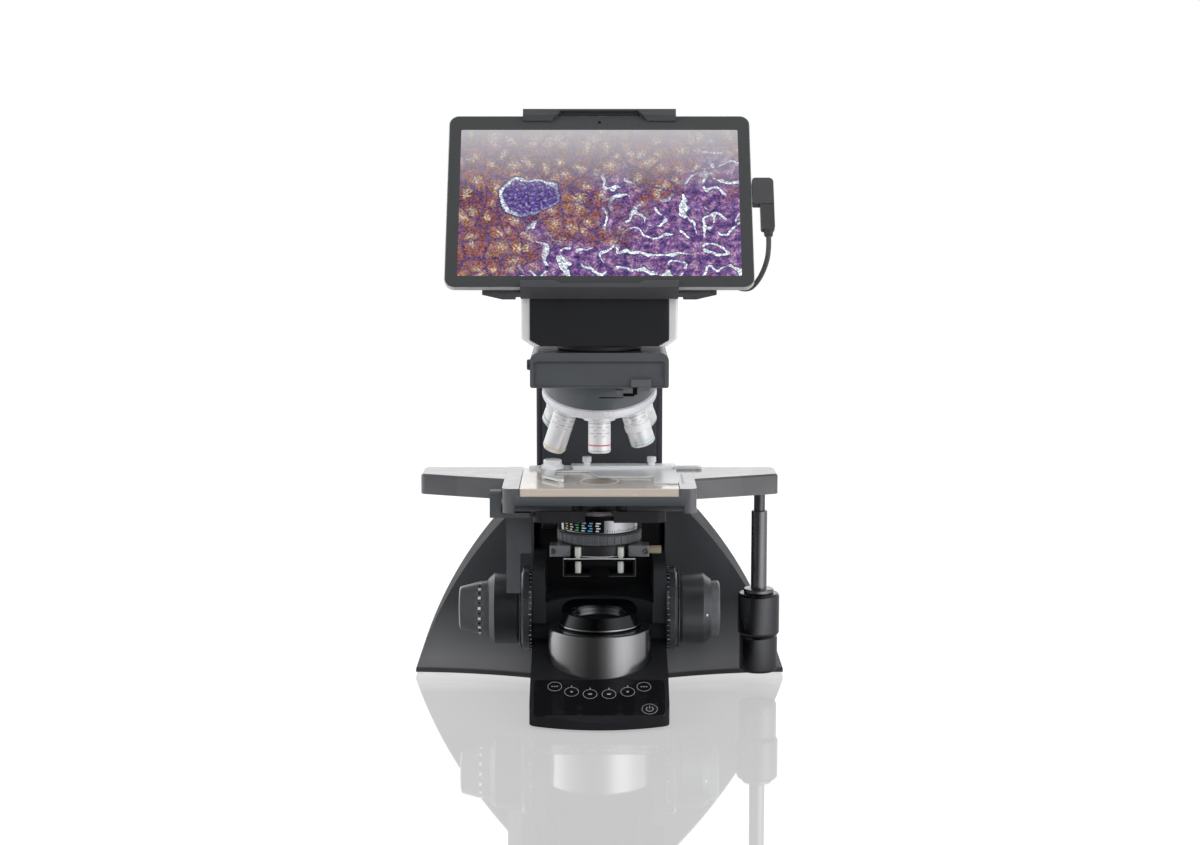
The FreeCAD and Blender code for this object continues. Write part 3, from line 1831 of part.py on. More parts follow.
def cradle_back():
    """Tilting plate behind the tablet with the lower jaw, the spine and the hinge lug."""
    front = tablet_thickness + slide_gap
    rear = front + cradle_thickness
    drop = -lower_jaw_drop
    half = jaw_half_width
    back = front_profile(
        [
            (-half, drop, 2.0), (half, drop, 2.0),
            (half, cradle_height - 22, 8.0),
            (spine_half_width, cradle_height, 8.0),
            (-spine_half_width, cradle_height, 8.0),
            (-half, cradle_height - 22, 8.0),
        ],
        front, rear,
    )
    spine = front_profile(
        [
            (-spine_half_width, drop + 12, 3.0), (spine_half_width, drop + 12, 3.0),
            (spine_half_width, spine_top, 6.0), (-spine_half_width, spine_top, 6.0),
        ],
        front, front + spine_thickness,
    )
    jaw = side_profile(
        [
            (-jaw_front, drop, 0.8),
            (lower_jaw_depth, drop, 1.5),
            (lower_jaw_depth, lower_jaw_back_rise, 3.0),
            (front, lower_jaw_back_rise),
            (front, -slide_gap),
            (-slide_gap, -slide_gap),
            (-slide_gap, lower_jaw_lip),
            (-jaw_front, lower_jaw_lip, 1.2),
        ],
        -half, half,
    )
    slope = half - jaw_pad_width
    notch = front_profile(
        [
            (-slope, lower_jaw_lip + 1), (slope, lower_jaw_lip + 1),
            (slope - 8, lower_jaw_notch, 1.0), (-slope + 8, lower_jaw_notch, 1.0),
        ],
        -jaw_front - 1, -slide_gap / 2,
    )
    body = back.fuse([spine, jaw.cut(notch)])
    for side in (-1, 1):
        tip = half + wedge_arm_length
        arm = plate(
            [
                (half - 1, front), (tip, front), (tip, front + 2.5, 1.0),
                (half + 15, lower_jaw_depth, 2.0), (half + 4, lower_jaw_depth, 1.0),
                (half + 4, lower_jaw_depth - 4, 1.0), (half - 1, lower_jaw_depth - 4),
            ],
            drop, drop + wedge_arm_height,
        )
        if side < 0:
            arm = arm.mirror(Vector(0, 0, 0), Vector(1, 0, 0))
        body = body.fuse(arm)
    channel = box(
        -tongue_half_width - slide_gap, tongue_half_width + slide_gap,
        front - 1, front + tongue_thickness + 2 * slide_gap, tilt_up + 14, spine_top + 1,
    )
    body = body.cut(channel)
    lug = crosswise(-tilt_lug_half_width, tilt_lug_half_width, tilt_back, tilt_up, tilt_lug_radius)
    web = box(
        -tilt_lug_half_width, tilt_lug_half_width, rear - 1, tilt_back,
        tilt_up - tilt_lug_radius, tilt_up + tilt_lug_radius,
    )
    body = body.fuse([lug, web])
    bore = crosswise(-30, 30, tilt_back, tilt_up, tilt_pin_radius + running_fit)
    return leaned(body.cut(bore).removeSplitter())


def upper_jaw():
    """Sprung jaw over the tablet's top edge, with a tongue that slides in the spine."""
    front = tablet_thickness + slide_gap
    base = tablet_height + slide_gap
    top = tablet_height + upper_jaw_rise
    half = jaw_half_width
    bar = side_profile(
        [
            (-jaw_front, top, 0.8),
            (-jaw_front, top - upper_jaw_face, 0.8),
            (-slide_gap - 0.9, tablet_height - upper_jaw_lip, 0.4),
            (-slide_gap, tablet_height - upper_jaw_lip),
            (-slide_gap, base),
            (front + 5, base),
            (front + 5, top, 1.6),
        ],
        -half, half,
    )
    slope = half - jaw_pad_width
    notch = front_profile(
        [
            (-slope, tablet_height - upper_jaw_lip - 1), (slope, tablet_height - upper_jaw_lip - 1),
            (slope, tablet_height - upper_jaw_lip + 1, 1.5), (slope - 7, top - 2.0, 1.5),
            (-slope + 7, top - 2.0, 1.5), (-slope, tablet_height - upper_jaw_lip + 1, 1.5),
        ],
        -jaw_front - 1, -slide_gap / 2,
    )
    tongue = box(
        -tongue_half_width, tongue_half_width,
        front + slide_gap, front + slide_gap + tongue_thickness, tongue_start, base + 2,
    )
    return leaned(bar.cut(notch).fuse(tongue).removeSplitter())


# Cable and its two right-angle plugs

def plug_form():
    """Right-angle plug: tip along +X, housing and strain relief hanging down from it."""
    width = plug_width / 2
    tip = box(-6.5, 1, -4.2 / 3, 4.2 / 3, -4.3, 4.3)
    head = front_profile(
        [(0.4, -13.0, 1.5), (18.3, -13.0, 1.5), (18.3, 12.0, 4.0), (0.4, 12.0, 3.0)],
        -width, width,
    )
    stem = front_profile(
        [(6.7, -37.0, 2.5), (18.3, -37.0, 2.5), (18.3, -11.0, 0.5), (6.7, -11.0, 0.5)],
        -width + 0.4, width - 0.4,
    )
    relief = turned(
        [(0, -36.0), (3.9, -36.0), (3.0, -plug_relief_end), (0, -plug_relief_end)],
        Vector(plug_relief_out, 0, 0), Vector(0, 0, 1),
    )
    return tip.fuse([head, stem, relief]).removeSplitter()


def usb_plug():
    """Plug in the tablet's right side."""
    plug = plug_form()
    plug.translate(Vector(tablet_width / 2, tablet_thickness / 2 + 0.1, plug_up))
    return leaned(plug)


def camera_plug():
    """Plug in the camera's back, its cable leaving to the right."""
    plug = plug_form()
    turn = FreeCAD.Rotation(Vector(0, 1, 0), Vector(0, 0, -1), Vector(-1, 0, 0), "XYZ")
    plug.Placement = FreeCAD.Placement(Vector(camera_plug_x, camera_rear, camera_plug_z), turn)
    return plug


def cable_route():
    """Corners of the cable's route, from the tablet's plug to the camera's."""
    start = tablet_point(
        tablet_width / 2 + plug_relief_out, tablet_thickness / 2 + 0.1,
        plug_up - plug_relief_end - running_fit,
    )
    end = Vector(camera_plug_x + plug_relief_end, camera_rear + plug_relief_out, camera_plug_z)
    return [start] + [Vector(*point) for point in cable_bends] + [end]


def cable_path(route):
    """Straight runs joined by arcs as large as the runs allow."""
    edges = []
    start = route[0]
    for before, here, after in zip(route, route[1:], route[2:]):
        incoming = before - here
        outgoing = after - here
        shorter = min(incoming.Length, outgoing.Length)
        incoming.normalize()
        outgoing.normalize()
        turn = math.pi - incoming.getAngle(outgoing)
        reach = 0.45 * shorter
        radius = reach / math.tan(turn / 2)
        bisector = incoming + outgoing
        bisector.normalize()
        middle = here + bisector * (radius / math.cos(turn / 2) - radius)
        first = here + incoming * reach
        last = here + outgoing * reach
        edges.append(Part.LineSegment(start, first).toShape())
        edges.append(Part.Arc(first, middle, last).toShape())
        print("cable bend radius %.1f mm, turn %.0f degrees" % (radius, math.degrees(turn)))
        start = last
    edges.append(Part.LineSegment(start, route[-1]).toShape())
    return Part.Wire(edges)


def usb_cable():
    """Round cable along its route."""
    route = cable_route()
    path = cable_path(route)
    section = Part.Wire(Part.makeCircle(cable_radius, route[0], route[1] - route[0]))
    tube = path.makePipeShell([section], True, False)
    expected = math.pi * cable_radius ** 2 * path.Length
    print("cable length %.1f mm, volume %.1f of %.1f mm3" % (path.Length, tube.Volume, expected))
    return tube


makers = [
    foot_casting, skirt_shell, column, column_front_cover, rear_cover, bottom_plate, rubber_feet,
    power_inlet, light_drum, drum_trim_ring, field_diaphragm_ring, field_lens, touch_panel,
    right_focus_flange, torque_ring, coarse_shaft, coarse_knob_left, coarse_knob_right,
    fine_knob_left, fine_knob_right, focus_carriage, stage_carrier, stage_side_plate,
    stage_plate, ceramic_plate, specimen_rail, slide_holder, clip_lever, drive_rod, drive_tube,
    y_knob, x_knob, condenser_body, condenser_lens, aperture_ring, condenser_carrier,
    condenser_cage, condenser_knob, centring_screw, head_block, nosepiece_mount,
    nosepiece_turret, camera_dovetail, camera_housing, camera_front_panel, camera_clamp_screw,
    tablet_shell, tablet_glass, cradle_bracket, cradle_back, upper_jaw, usb_plug, camera_plug,
    usb_cable,
]

os.makedirs("parts", exist_ok=True)
for maker in makers:
    save(maker.__name__, maker())
for place in range(len(objective_sizes)):
    save("objective_%d" % (place + 1), objective(place))
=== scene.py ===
import bpy
import bmesh
import math
from mathutils import Matrix, Vector


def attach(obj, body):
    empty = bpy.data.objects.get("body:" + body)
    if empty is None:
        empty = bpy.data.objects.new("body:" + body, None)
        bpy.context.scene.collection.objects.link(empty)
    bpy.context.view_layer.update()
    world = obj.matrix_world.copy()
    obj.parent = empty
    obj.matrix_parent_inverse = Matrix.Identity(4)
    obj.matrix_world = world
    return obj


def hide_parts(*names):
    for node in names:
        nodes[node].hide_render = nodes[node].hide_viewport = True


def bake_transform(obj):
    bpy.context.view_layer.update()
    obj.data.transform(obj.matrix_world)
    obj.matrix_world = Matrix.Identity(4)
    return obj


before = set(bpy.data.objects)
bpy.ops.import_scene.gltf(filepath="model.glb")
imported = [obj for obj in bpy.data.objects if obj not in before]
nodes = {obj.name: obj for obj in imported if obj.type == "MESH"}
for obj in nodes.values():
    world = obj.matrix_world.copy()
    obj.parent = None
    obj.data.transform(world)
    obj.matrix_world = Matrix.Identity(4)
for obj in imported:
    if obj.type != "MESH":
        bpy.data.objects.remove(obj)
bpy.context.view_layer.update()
print("stage 1: frame with %d nodes" % len(nodes))


# Camera

cameraView = {
    "lens": 67.56,
    "place": (0.0005, -1.953, 0.500),
    "tilt": 7.65,  # degrees below level
}


def placeCamera(view):
    data = bpy.data.cameras.new("photoCamera")
    data.lens = view["lens"]
    data.sensor_width = 36.0
    data.clip_start = 0.05
    holder = bpy.data.objects.new("photoCamera", data)
    holder.location = view["place"]
    holder.rotation_euler = (math.radians(90.0 - view["tilt"]), 0.0, 0.0)
    bpy.context.scene.collection.objects.link(holder)
    bpy.context.scene.camera = holder


placeCamera(cameraView)
bpy.context.scene.view_settings.view_transform = "Standard"


# Shader building blocks

def addNode(tree, kind, **settings):
    node = tree.nodes.new(kind)
    for key, value in settings.items():
        setattr(node, key, value)
    return node


def wire(tree, source, target):
    tree.links.new(source, target)


def blankMaterial(name):
    material = bpy.data.materials.new(name)
    material.use_nodes = True
    tree = material.node_tree
    return material, tree, tree.nodes["Principled BSDF"]


def objectPlace(tree):
    return addNode(tree, "ShaderNodeTexCoord").outputs["Object"]


def noiseField(tree, place, scale, detail=3.0, stretch=(1.0, 1.0, 1.0)):
    mapping = addNode(tree, "ShaderNodeMapping")
    mapping.inputs["Scale"].default_value = stretch
    wire(tree, place, mapping.inputs["Vector"])
    noise = addNode(tree, "ShaderNodeTexNoise")
    noise.inputs["Scale"].default_value = scale
    noise.inputs["Detail"].default_value = detail
    wire(tree, mapping.outputs["Vector"], noise.inputs["Vector"])
    return noise.outputs["Fac"]


def ramp(tree, value, stops):
    node = addNode(tree, "ShaderNodeValToRGB")
    elements = node.color_ramp.elements
    while len(elements) < len(stops):
        elements.new(0.5)
    for element, (position, colour) in zip(elements, stops):
        element.position = position
        element.color = tuple(colour) + (1.0,)
    wire(tree, value, node.inputs["Fac"])
    return node.outputs["Color"]


def spread(tree, value, low, high, fromLow=0.3, fromHigh=0.7):
    node = addNode(tree, "ShaderNodeMapRange")
    for key, number in (("From Min", fromLow), ("From Max", fromHigh), ("To Min", low), ("To Max", high)):
        node.inputs[key].default_value = number
    wire(tree, value, node.inputs["Value"])
    return node.outputs["Result"]


def mixColours(tree, share, first, second, way="MIX"):
    node = addNode(tree, "ShaderNodeMix", data_type="RGBA", blend_type=way)
    for socket, value in ((node.inputs[0], share), (node.inputs[6], first), (node.inputs[7], second)):
        if isinstance(value, bpy.types.NodeSocket):
            wire(tree, value, socket)
        elif isinstance(value, (int, float)):
            socket.default_value = value
        else:
            socket.default_value = tuple(value) + (1.0,)
    return node.outputs[2]


def calculate(tree, way, first, second=0.0, third=0.0):
    node = addNode(tree, "ShaderNodeMath", operation=way)
    for socket, value in zip(node.inputs, (first, second, third)):
        if isinstance(value, bpy.types.NodeSocket):
            wire(tree, value, socket)
        else:
            socket.default_value = value
    return node.outputs[0]


def edgeLight(tree, amount):
    # painted highlight together with worn edges: share of the edge colour on sharp edges, found by pointiness
    geometry = addNode(tree, "ShaderNodeNewGeometry")
    return spread(tree, geometry.outputs["Pointiness"], 0.0, amount, 0.515, 0.60)


def raise_(tree, shader, height, strength, distance):
    bump = addNode(tree, "ShaderNodeBump")
    bump.inputs["Strength"].default_value = strength
    bump.inputs["Distance"].default_value = distance
    wire(tree, height, bump.inputs["Height"])
    wire(tree, bump.outputs["Normal"], shader.inputs["Normal"])


def turnedPlace(tree, place, centre, axis):
    # distance from the axis and distance along it, so that lathe marks follow the turning
    shift = addNode(tree, "ShaderNodeVectorMath", operation="SUBTRACT")
    shift.inputs[1].default_value = centre
    wire(tree, place, shift.inputs[0])
    along = addNode(tree, "ShaderNodeVectorMath", operation="DOT_PRODUCT")
    along.inputs[1].default_value = axis
    wire(tree, shift.outputs["Vector"], along.inputs[0])
    across = addNode(tree, "ShaderNodeVectorMath", operation="CROSS_PRODUCT")
    across.inputs[1].default_value = axis
    wire(tree, shift.outputs["Vector"], across.inputs[0])
    radius = addNode(tree, "ShaderNodeVectorMath", operation="LENGTH")
    wire(tree, across.outputs["Vector"], radius.inputs[0])
    joined = addNode(tree, "ShaderNodeCombineXYZ")
    wire(tree, radius.outputs["Value"], joined.inputs["X"])
    wire(tree, along.outputs["Value"], joined.inputs["Y"])
    return joined.outputs["Vector"]


# Finishes

def zoneShare(tree, place, zone):
    # 0 to 1 where the place, or the way a face looks, runs along one axis from the first limit to the second
    split = addNode(tree, "ShaderNodeSeparateXYZ")
    if zone.get("facing", False):
        place = addNode(tree, "ShaderNodeNewGeometry").outputs["Normal"]
    wire(tree, place, split.inputs["Vector"])
    value = split.outputs[zone["axis"]]
    if zone.get("both", False):
        value = calculate(tree, "ABSOLUTE", value)
    return spread(tree, value, 0.0, zone.get("most", 1.0), *zone["limits"])


def paintFinish(name, look):
    # sprayed or moulded surface: fine orange-peel bump, mottled gloss, lighter edges that are partly worn and partly
    # painted highlight
    material, tree, shader = blankMaterial(name)
    place = objectPlace(tree)
    cloud = noiseField(tree, place, look.get("cloud", 22.0), 4.0)
    body = ramp(tree, cloud, ((0.3, look["deep"]), (0.7, look["colour"])))
    # zones lay other colours over parts of the surface; most of them are painted light and shade
    for zone in look.get("zones", ()):
        body = mixColours(tree, zoneShare(tree, place, zone), body, zone["colour"])
    edge = edgeLight(tree, look.get("edgeWearAndLight", 0.35))
    wire(tree, mixColours(tree, edge, body, look.get("edge", look["colour"])), shader.inputs["Base Color"])
    gloss = noiseField(tree, place, look.get("mottle", 60.0), 3.0)
    wire(tree, spread(tree, gloss, look["rough"] - 0.05, look["rough"] + 0.06), shader.inputs["Roughness"])
    shader.inputs["Metallic"].default_value = look.get("metal", 0.0)
    shader.inputs["Specular IOR Level"].default_value = look.get("specular", 0.5)
    shader.inputs["Coat Weight"].default_value = look.get("coat", 0.0)
    shader.inputs["Coat Roughness"].default_value = look.get("coatRough", 0.25)
    grain = noiseField(tree, place, look.get("grain", 520.0), 2.0)
    raise_(tree, shader, grain, look.get("bump", 0.05), 0.0002)
    return material


def metalFinish(name, look):
    # bare or anodised metal with lathe marks or brushing
    material, tree, shader = blankMaterial(name)
    place = objectPlace(tree)
    if "axis" in look:
        lines = noiseField(tree, turnedPlace(tree, place, look["centre"], look["axis"]), look.get("lines", 1000.0), 2.0)
    else:
        lines = noiseField(tree, place, look.get("lines", 260.0), 3.0, look.get("brush", (1.0, 12.0, 12.0)))
    stain = noiseField(tree, place, 35.0, 4.0)
    body = mixColours(tree, stain, look["deep"], look["colour"])
    # sharp edges take the edge colour: worn edges together with painted edge highlight, and on steel painted dark edge
    # lines
    edge = edgeLight(tree, look.get("edgeWearAndLight", 0.25))
    wire(tree, mixColours(tree, edge, body, look.get("edge", look["colour"])), shader.inputs["Base Color"])
    shader.inputs["Metallic"].default_value = look.get("metal", 1.0)
    wire(tree, spread(tree, lines, look["rough"] - 0.02, look["rough"] + 0.03), shader.inputs["Roughness"])
    shader.inputs["Coat Weight"].default_value = look.get("coat", 0.0)
    raise_(tree, shader, lines, look.get("bump", 0.03), 0.0001)
    return material


def glassFinish(name, look):
    # coated lens glass with faint smears
    material, tree, shader = blankMaterial(name)
    place = objectPlace(tree)
    smear = noiseField(tree, place, 120.0, 4.0, (1.0, 0.35, 1.0))
    wire(tree, spread(tree, smear, look["rough"], look["rough"] + 0.06), shader.inputs["Roughness"])
    tint = mixColours(tree, smear, look["colour"], look["deep"])
    wire(tree, tint, shader.inputs["Base Color"])
    shader.inputs["Transmission Weight"].default_value = look.get("clear", 0.0)
    shader.inputs["IOR"].default_value = 1.5
    shader.inputs["Coat Weight"].default_value = 0.6
    shader.inputs["Coat Roughness"].default_value = 0.03
    raise_(tree, shader, smear, 0.02, 0.0001)
    return material


noseTilt = math.radians(20.5)
noseAxis = (0.0, math.sin(noseTilt), -math.cos(noseTilt))
opticY = -0.055
noseCentre = (0.0, opticY + 0.032 * math.cos(noseTilt), 0.250 + 0.032 * math.sin(noseTilt))
focusAxis = (0.0, -0.010, 0.0743)
driveAxis = (0.1413, 0.008, 0.0)

wingPaint = paintFinish("wingPaint", {
    "colour": (0.082, 0.084, 0.090), "deep": (0.072, 0.074, 0.080), "edge": (0.16, 0.16, 0.17), "rough": 0.34,
    "edgeWearAndLight": 0.4, "coat": 1.0, "coatRough": 0.08, "bump": 0.02,
    "zones": ({"axis": "X", "both": True, "limits": (0.0800, 0.0660), "colour": (0.030, 0.038, 0.044)},),
})
footPaint = paintFinish("footPaint", {
    "colour": (0.0145, 0.015, 0.0175), "deep": (0.011, 0.0115, 0.0135), "edge": (0.03, 0.03, 0.035), "rough": 0.46,
    "edgeWearAndLight": 0.1, "specular": 0.15,
    # painted light: the foot made lighter above about 45 to 66 mm
    "zones": ({"axis": "Z", "limits": (0.045, 0.066), "colour": (0.026, 0.029, 0.033)},),
})
headPaint = paintFinish("headPaint", {
    "colour": (0.074, 0.080, 0.089), "deep": (0.065, 0.070, 0.079), "edge": (0.10, 0.10, 0.11), "rough": 0.42,
    "edgeWearAndLight": 0.3, "coat": 0.3, "coatRough": 0.24, "bump": 0.04,
})
columnPaint = paintFinish("columnPaint", {
    "colour": (0.027, 0.028, 0.034), "deep": (0.019, 0.020, 0.025), "edge": (0.06, 0.06, 0.07), "rough": 0.46,
    "edgeWearAndLight": 0.25, "specular": 0.35,
    # painted shade: near black below about 186 to 194 mm, under the stage
    "zones": ({"axis": "Z", "limits": (0.194, 0.186), "colour": (0.005, 0.005, 0.0065)},),
})
coverPaint = paintFinish("coverPaint", {
    "colour": (0.056, 0.063, 0.071), "deep": (0.047, 0.053, 0.061), "edge": (0.08, 0.08, 0.09), "rough": 0.44,
    # painted shade: darker towards the top, from 225 to 262 mm, under the head
    "zones": ({"axis": "Z", "limits": (0.225, 0.262), "colour": (0.018, 0.019, 0.023)},),
})
skirtMoulding = paintFinish("skirtMoulding", {
    "colour": (0.048, 0.052, 0.057), "deep": (0.041, 0.045, 0.050), "edge": (0.09, 0.09, 0.10), "rough": 0.55,
    "bump": 0.05, "edgeWearAndLight": 0.2, "specular": 0.10,
    "zones": (
        # painted light: lighter towards the bottom, below 70 mm, where the flare catches light
        {"axis": "Z", "limits": (0.070, 0.016), "colour": (0.175, 0.177, 0.183)},
        # painted shade: a dark band along the very base
        {"axis": "Z", "limits": (0.0072, 0.0056), "colour": (0.045, 0.045, 0.048)},
        # painted shade: faces that look sideways or up rather than forward made darker
        {"axis": "Y", "facing": True, "both": True, "limits": (0.80, 0.45), "colour": (0.020, 0.021, 0.023)},
    ),
})
knobMoulding = paintFinish("knobMoulding", {
    "colour": (0.100, 0.110, 0.117), "deep": (0.085, 0.094, 0.100), "edge": (0.26, 0.27, 0.28), "rough": 0.34,
    "edgeWearAndLight": 0.2, "metal": 0.88, "bump": 0.03,
    "zones": (
        # painted light: the knobs right of the middle made lighter
        {"axis": "X", "limits": (0.0, 0.010), "colour": (0.140, 0.150, 0.158)},
        # painted highlight: faces that look upward made lighter
        {"axis": "Z", "facing": True, "limits": (0.50, 0.92), "colour": (0.26, 0.28, 0.30)},
    ),
})
fineMoulding = paintFinish("fineMoulding", {
    "colour": (0.064, 0.068, 0.073), "deep": (0.052, 0.056, 0.060), "edge": (0.18, 0.19, 0.20), "rough": 0.33,
    "edgeWearAndLight": 0.25, "coat": 0.4, "coatRough": 0.2, "bump": 0.03,
    # painted light: the knob right of the middle made lighter
    "zones": ({"axis": "X", "limits": (0.0, 0.010), "colour": (0.100, 0.105, 0.112)},),
})
discMoulding = paintFinish("discMoulding", {
    "colour": (0.036, 0.040, 0.045), "deep": (0.028, 0.031, 0.035), "edge": (0.14, 0.15, 0.16), "rough": 0.24,
    "edgeWearAndLight": 0.3, "coat": 0.6, "coatRough": 0.1, "bump": 0.02,
})
driveSatin = paintFinish("driveSatin", {
    "colour": (0.150, 0.152, 0.163), "deep": (0.130, 0.132, 0.142), "edge": (0.22, 0.22, 0.24), "rough": 0.25,
    "edgeWearAndLight": 0.2, "metal": 1.0, "bump": 0.03,
})
tubePaint = paintFinish("tubePaint", {
    "colour": (0.37, 0.37, 0.395), "deep": (0.33, 0.33, 0.35), "edge": (0.42, 0.42, 0.44), "rough": 0.30,
    "edgeWearAndLight": 0.2, "metal": 1.0, "bump": 0.02,
})
rodSatin = paintFinish("rodSatin", {
    "colour": (0.18, 0.18, 0.19), "deep": (0.16, 0.16, 0.17), "edge": (0.26, 0.26, 0.28), "rough": 0.28,
    "edgeWearAndLight": 0.2, "metal": 0.9, "bump": 0.02,
})
inletMoulding = paintFinish("inletMoulding", {
    "colour": (0.012, 0.012, 0.013), "deep": (0.008, 0.008, 0.009), "edge": (0.05, 0.05, 0.055), "rough": 0.46,
    "bump": 0.08,
})
cradleMoulding = paintFinish("cradleMoulding", {
    "colour": (0.043, 0.044, 0.048), "deep": (0.035, 0.036, 0.040), "edge": (0.09, 0.09, 0.10), "rough": 0.46,
    "bump": 0.08, "edgeWearAndLight": 0.25,
})
rubberFinish = paintFinish("rubberFinish", {
    "colour": (0.020, 0.020, 0.021), "deep": (0.012, 0.012, 0.013), "rough": 0.68, "bump": 0.30, "grain": 700.0,
})
cableFinish = paintFinish("cableFinish", {
    "colour": (0.066, 0.066, 0.069), "deep": (0.052, 0.052, 0.055), "rough": 0.5, "bump": 0.1, "grain": 600.0,
})
plugMoulding = paintFinish("plugMoulding", {
    "colour": (0.046, 0.046, 0.049), "deep": (0.036, 0.036, 0.039), "edge": (0.09, 0.09, 0.095), "rough": 0.46,
    "bump": 0.08, "edgeWearAndLight": 0.25,
})
carrierPaint = paintFinish("carrierPaint", {
    "colour": (0.005, 0.005, 0.006), "deep": (0.0035, 0.0035, 0.0045), "edge": (0.10, 0.10, 0.11), "rough": 0.30,
    "edgeWearAndLight": 0.1, "coat": 0.4, "coatRough": 0.12, "bump": 0.02,
    "zones": ({"axis": "X", "both": True, "limits": (0.0235, 0.0255), "colour": (0.130, 0.134, 0.146)},),
})
cageBlack = paintFinish("cageBlack", {
    "colour": (0.002, 0.002, 0.0025), "deep": (0.0015, 0.0015, 0.002), "rough": 0.45, "edgeWearAndLight": 0.1, "specular": 0.2,
})
hammeredGrey = paintFinish("hammeredGrey", {
    "colour": (0.058, 0.065, 0.071), "deep": (0.049, 0.055, 0.061), "edge": (0.16, 0.17, 0.18), "rough": 0.42,
    "metal": 0.2, "grain": 480.0, "bump": 0.12, "edgeWearAndLight": 0.3,
})
sliderGrey = paintFinish("sliderGrey", {
    "colour": (0.100, 0.104, 0.110), "deep": (0.085, 0.089, 0.094), "edge": (0.20, 0.21, 0.22), "rough": 0.40,
    "metal": 0.2, "edgeWearAndLight": 0.3,
})
ceramicGlaze = paintFinish("ceramicGlaze", {
    "colour": (0.54, 0.455, 0.385), "deep": (0.46, 0.41, 0.355), "edge": (0.66, 0.58, 0.51), "rough": 0.24,
    "bump": 0.02, "edgeWearAndLight": 0.2, "coat": 0.7, "coatRough": 0.10, "mottle": 30.0, "cloud": 9.0,
    # painted highlight: faces that look upward made lighter
    "zones": ({"axis": "Z", "facing": True, "limits": (0.60, 0.90), "colour": (0.80, 0.75, 0.70)},),
})
tabletMetal = paintFinish("tabletMetal", {
    "colour": (0.62, 0.62, 0.64), "deep": (0.54, 0.54, 0.56), "edge": (0.8, 0.8, 0.81), "rough": 0.34, "metal": 0.5,
    "bump": 0.02, "edgeWearAndLight": 0.0, "grain": 260.0,
})
zincSheet = metalFinish("zincSheet", {
    "colour": (0.42, 0.43, 0.44), "deep": (0.33, 0.34, 0.35), "rough": 0.38, "brush": (14.0, 1.0, 1.0),
})
steelBrushed = metalFinish("steelBrushed", {
    "colour": (0.95, 0.97, 0.99), "deep": (0.90, 0.92, 0.94), "rough": 0.30, "brush": (1.0, 5.0, 5.0), "metal": 0.15,
    "lines": 40.0, "bump": 0.002, "edgeWearAndLight": 0.4, "edge": (0.60, 0.61, 0.63),
})
postNickel = metalFinish("postNickel", {
    "colour": (0.56, 0.59, 0.55), "deep": (0.48, 0.51, 0.47), "rough": 0.30, "metal": 0.3, "bump": 0.002, "edgeWearAndLight": 0.1,
})
# painted highlight: light satin rims stand in for the bright chamfers on the dark discs and the left knob
rimSatin = metalFinish("rimSatin", {
    "colour": (0.60, 0.61, 0.62), "deep": (0.54, 0.55, 0.56), "rough": 0.26, "centre": focusAxis,
    "axis": (1.0, 0.0, 0.0), "bump": 0.004, "metal": 0.9, "edgeWearAndLight": 0.0,
})
chamferSatin = metalFinish("chamferSatin", {
    "colour": (0.25, 0.265, 0.275), "deep": (0.22, 0.235, 0.245), "rough": 0.34, "centre": focusAxis,
    "axis": (1.0, 0.0, 0.0), "bump": 0.004, "metal": 0.9, "edgeWearAndLight": 0.0,
})
drumSatin = metalFinish("drumSatin", {
    "colour": (0.53, 0.53, 0.54), "deep": (0.49, 0.49, 0.50), "rough": 0.20, "centre": (0.0, opticY, 0.0),
    "axis": (0.0, 0.0, 1.0), "lines": 1100.0, "bump": 0.012, "edge": (0.62, 0.62, 0.64), "edgeWearAndLight": 0.2, "metal": 1.0,
})
diaphragmSatin = metalFinish("diaphragmSatin", {
    "colour": (0.085, 0.090, 0.097), "deep": (0.070, 0.075, 0.082), "rough": 0.20, "centre": (0.0, opticY, 0.0),
    "axis": (0.0, 0.0, 1.0), "metal": 1.0, "edge": (0.3, 0.3, 0.32), "edgeWearAndLight": 0.3, "bump": 0.01,
})
trimChrome = metalFinish("trimChrome", {
    "colour": (0.60, 0.61, 0.63), "deep": (0.52, 0.53, 0.55), "rough": 0.16, "centre": (0.0, opticY, 0.0),
    "axis": (0.0, 0.0, 1.0), "bump": 0.01,
})
turretSatin = metalFinish("turretSatin", {
    "colour": (0.90, 0.90, 0.96), "deep": (0.82, 0.82, 0.88), "rough": 0.32, "centre": noseCentre,
    "axis": noseAxis, "bump": 0.008, "metal": 0.4, "edgeWearAndLight": 0.1,
})
domePaint = paintFinish("domePaint", {
    "colour": (0.080, 0.093, 0.102), "deep": (0.070, 0.081, 0.089), "rough": 0.34, "edgeWearAndLight": 0.0, "grain": 200.0,
    "coat": 0.3, "coatRough": 0.2, "bump": 0.01,
    # painted light: lighter towards both sides
    "zones": ({"axis": "X", "both": True, "limits": (0.010, 0.048), "most": 0.8, "colour": (0.178, 0.178, 0.192)},),
})
condenserSatin = metalFinish("condenserSatin", {
    "colour": (0.66, 0.67, 0.70), "deep": (0.58, 0.59, 0.62), "rough": 0.20, "centre": (0.0, opticY, 0.0),
    "axis": (0.0, 0.0, 1.0), "bump": 0.008,
})
cameraSatin = metalFinish("cameraSatin", {
    "colour": (0.93, 0.93, 0.94), "deep": (0.86, 0.86, 0.88), "rough": 0.34, "brush": (1.0, 1.0, 10.0), "lines": 300.0,
    "metal": 0.25, "bump": 0.02, "edgeWearAndLight": 0.1,
})
blackAnodised = metalFinish("blackAnodised", {
    "colour": (0.015, 0.0155, 0.018), "deep": (0.011, 0.0115, 0.014), "rough": 0.40, "metal": 0.1,
    "brush": (12.0, 1.0, 1.0), "edge": (0.05, 0.05, 0.06), "edgeWearAndLight": 0.3,
})
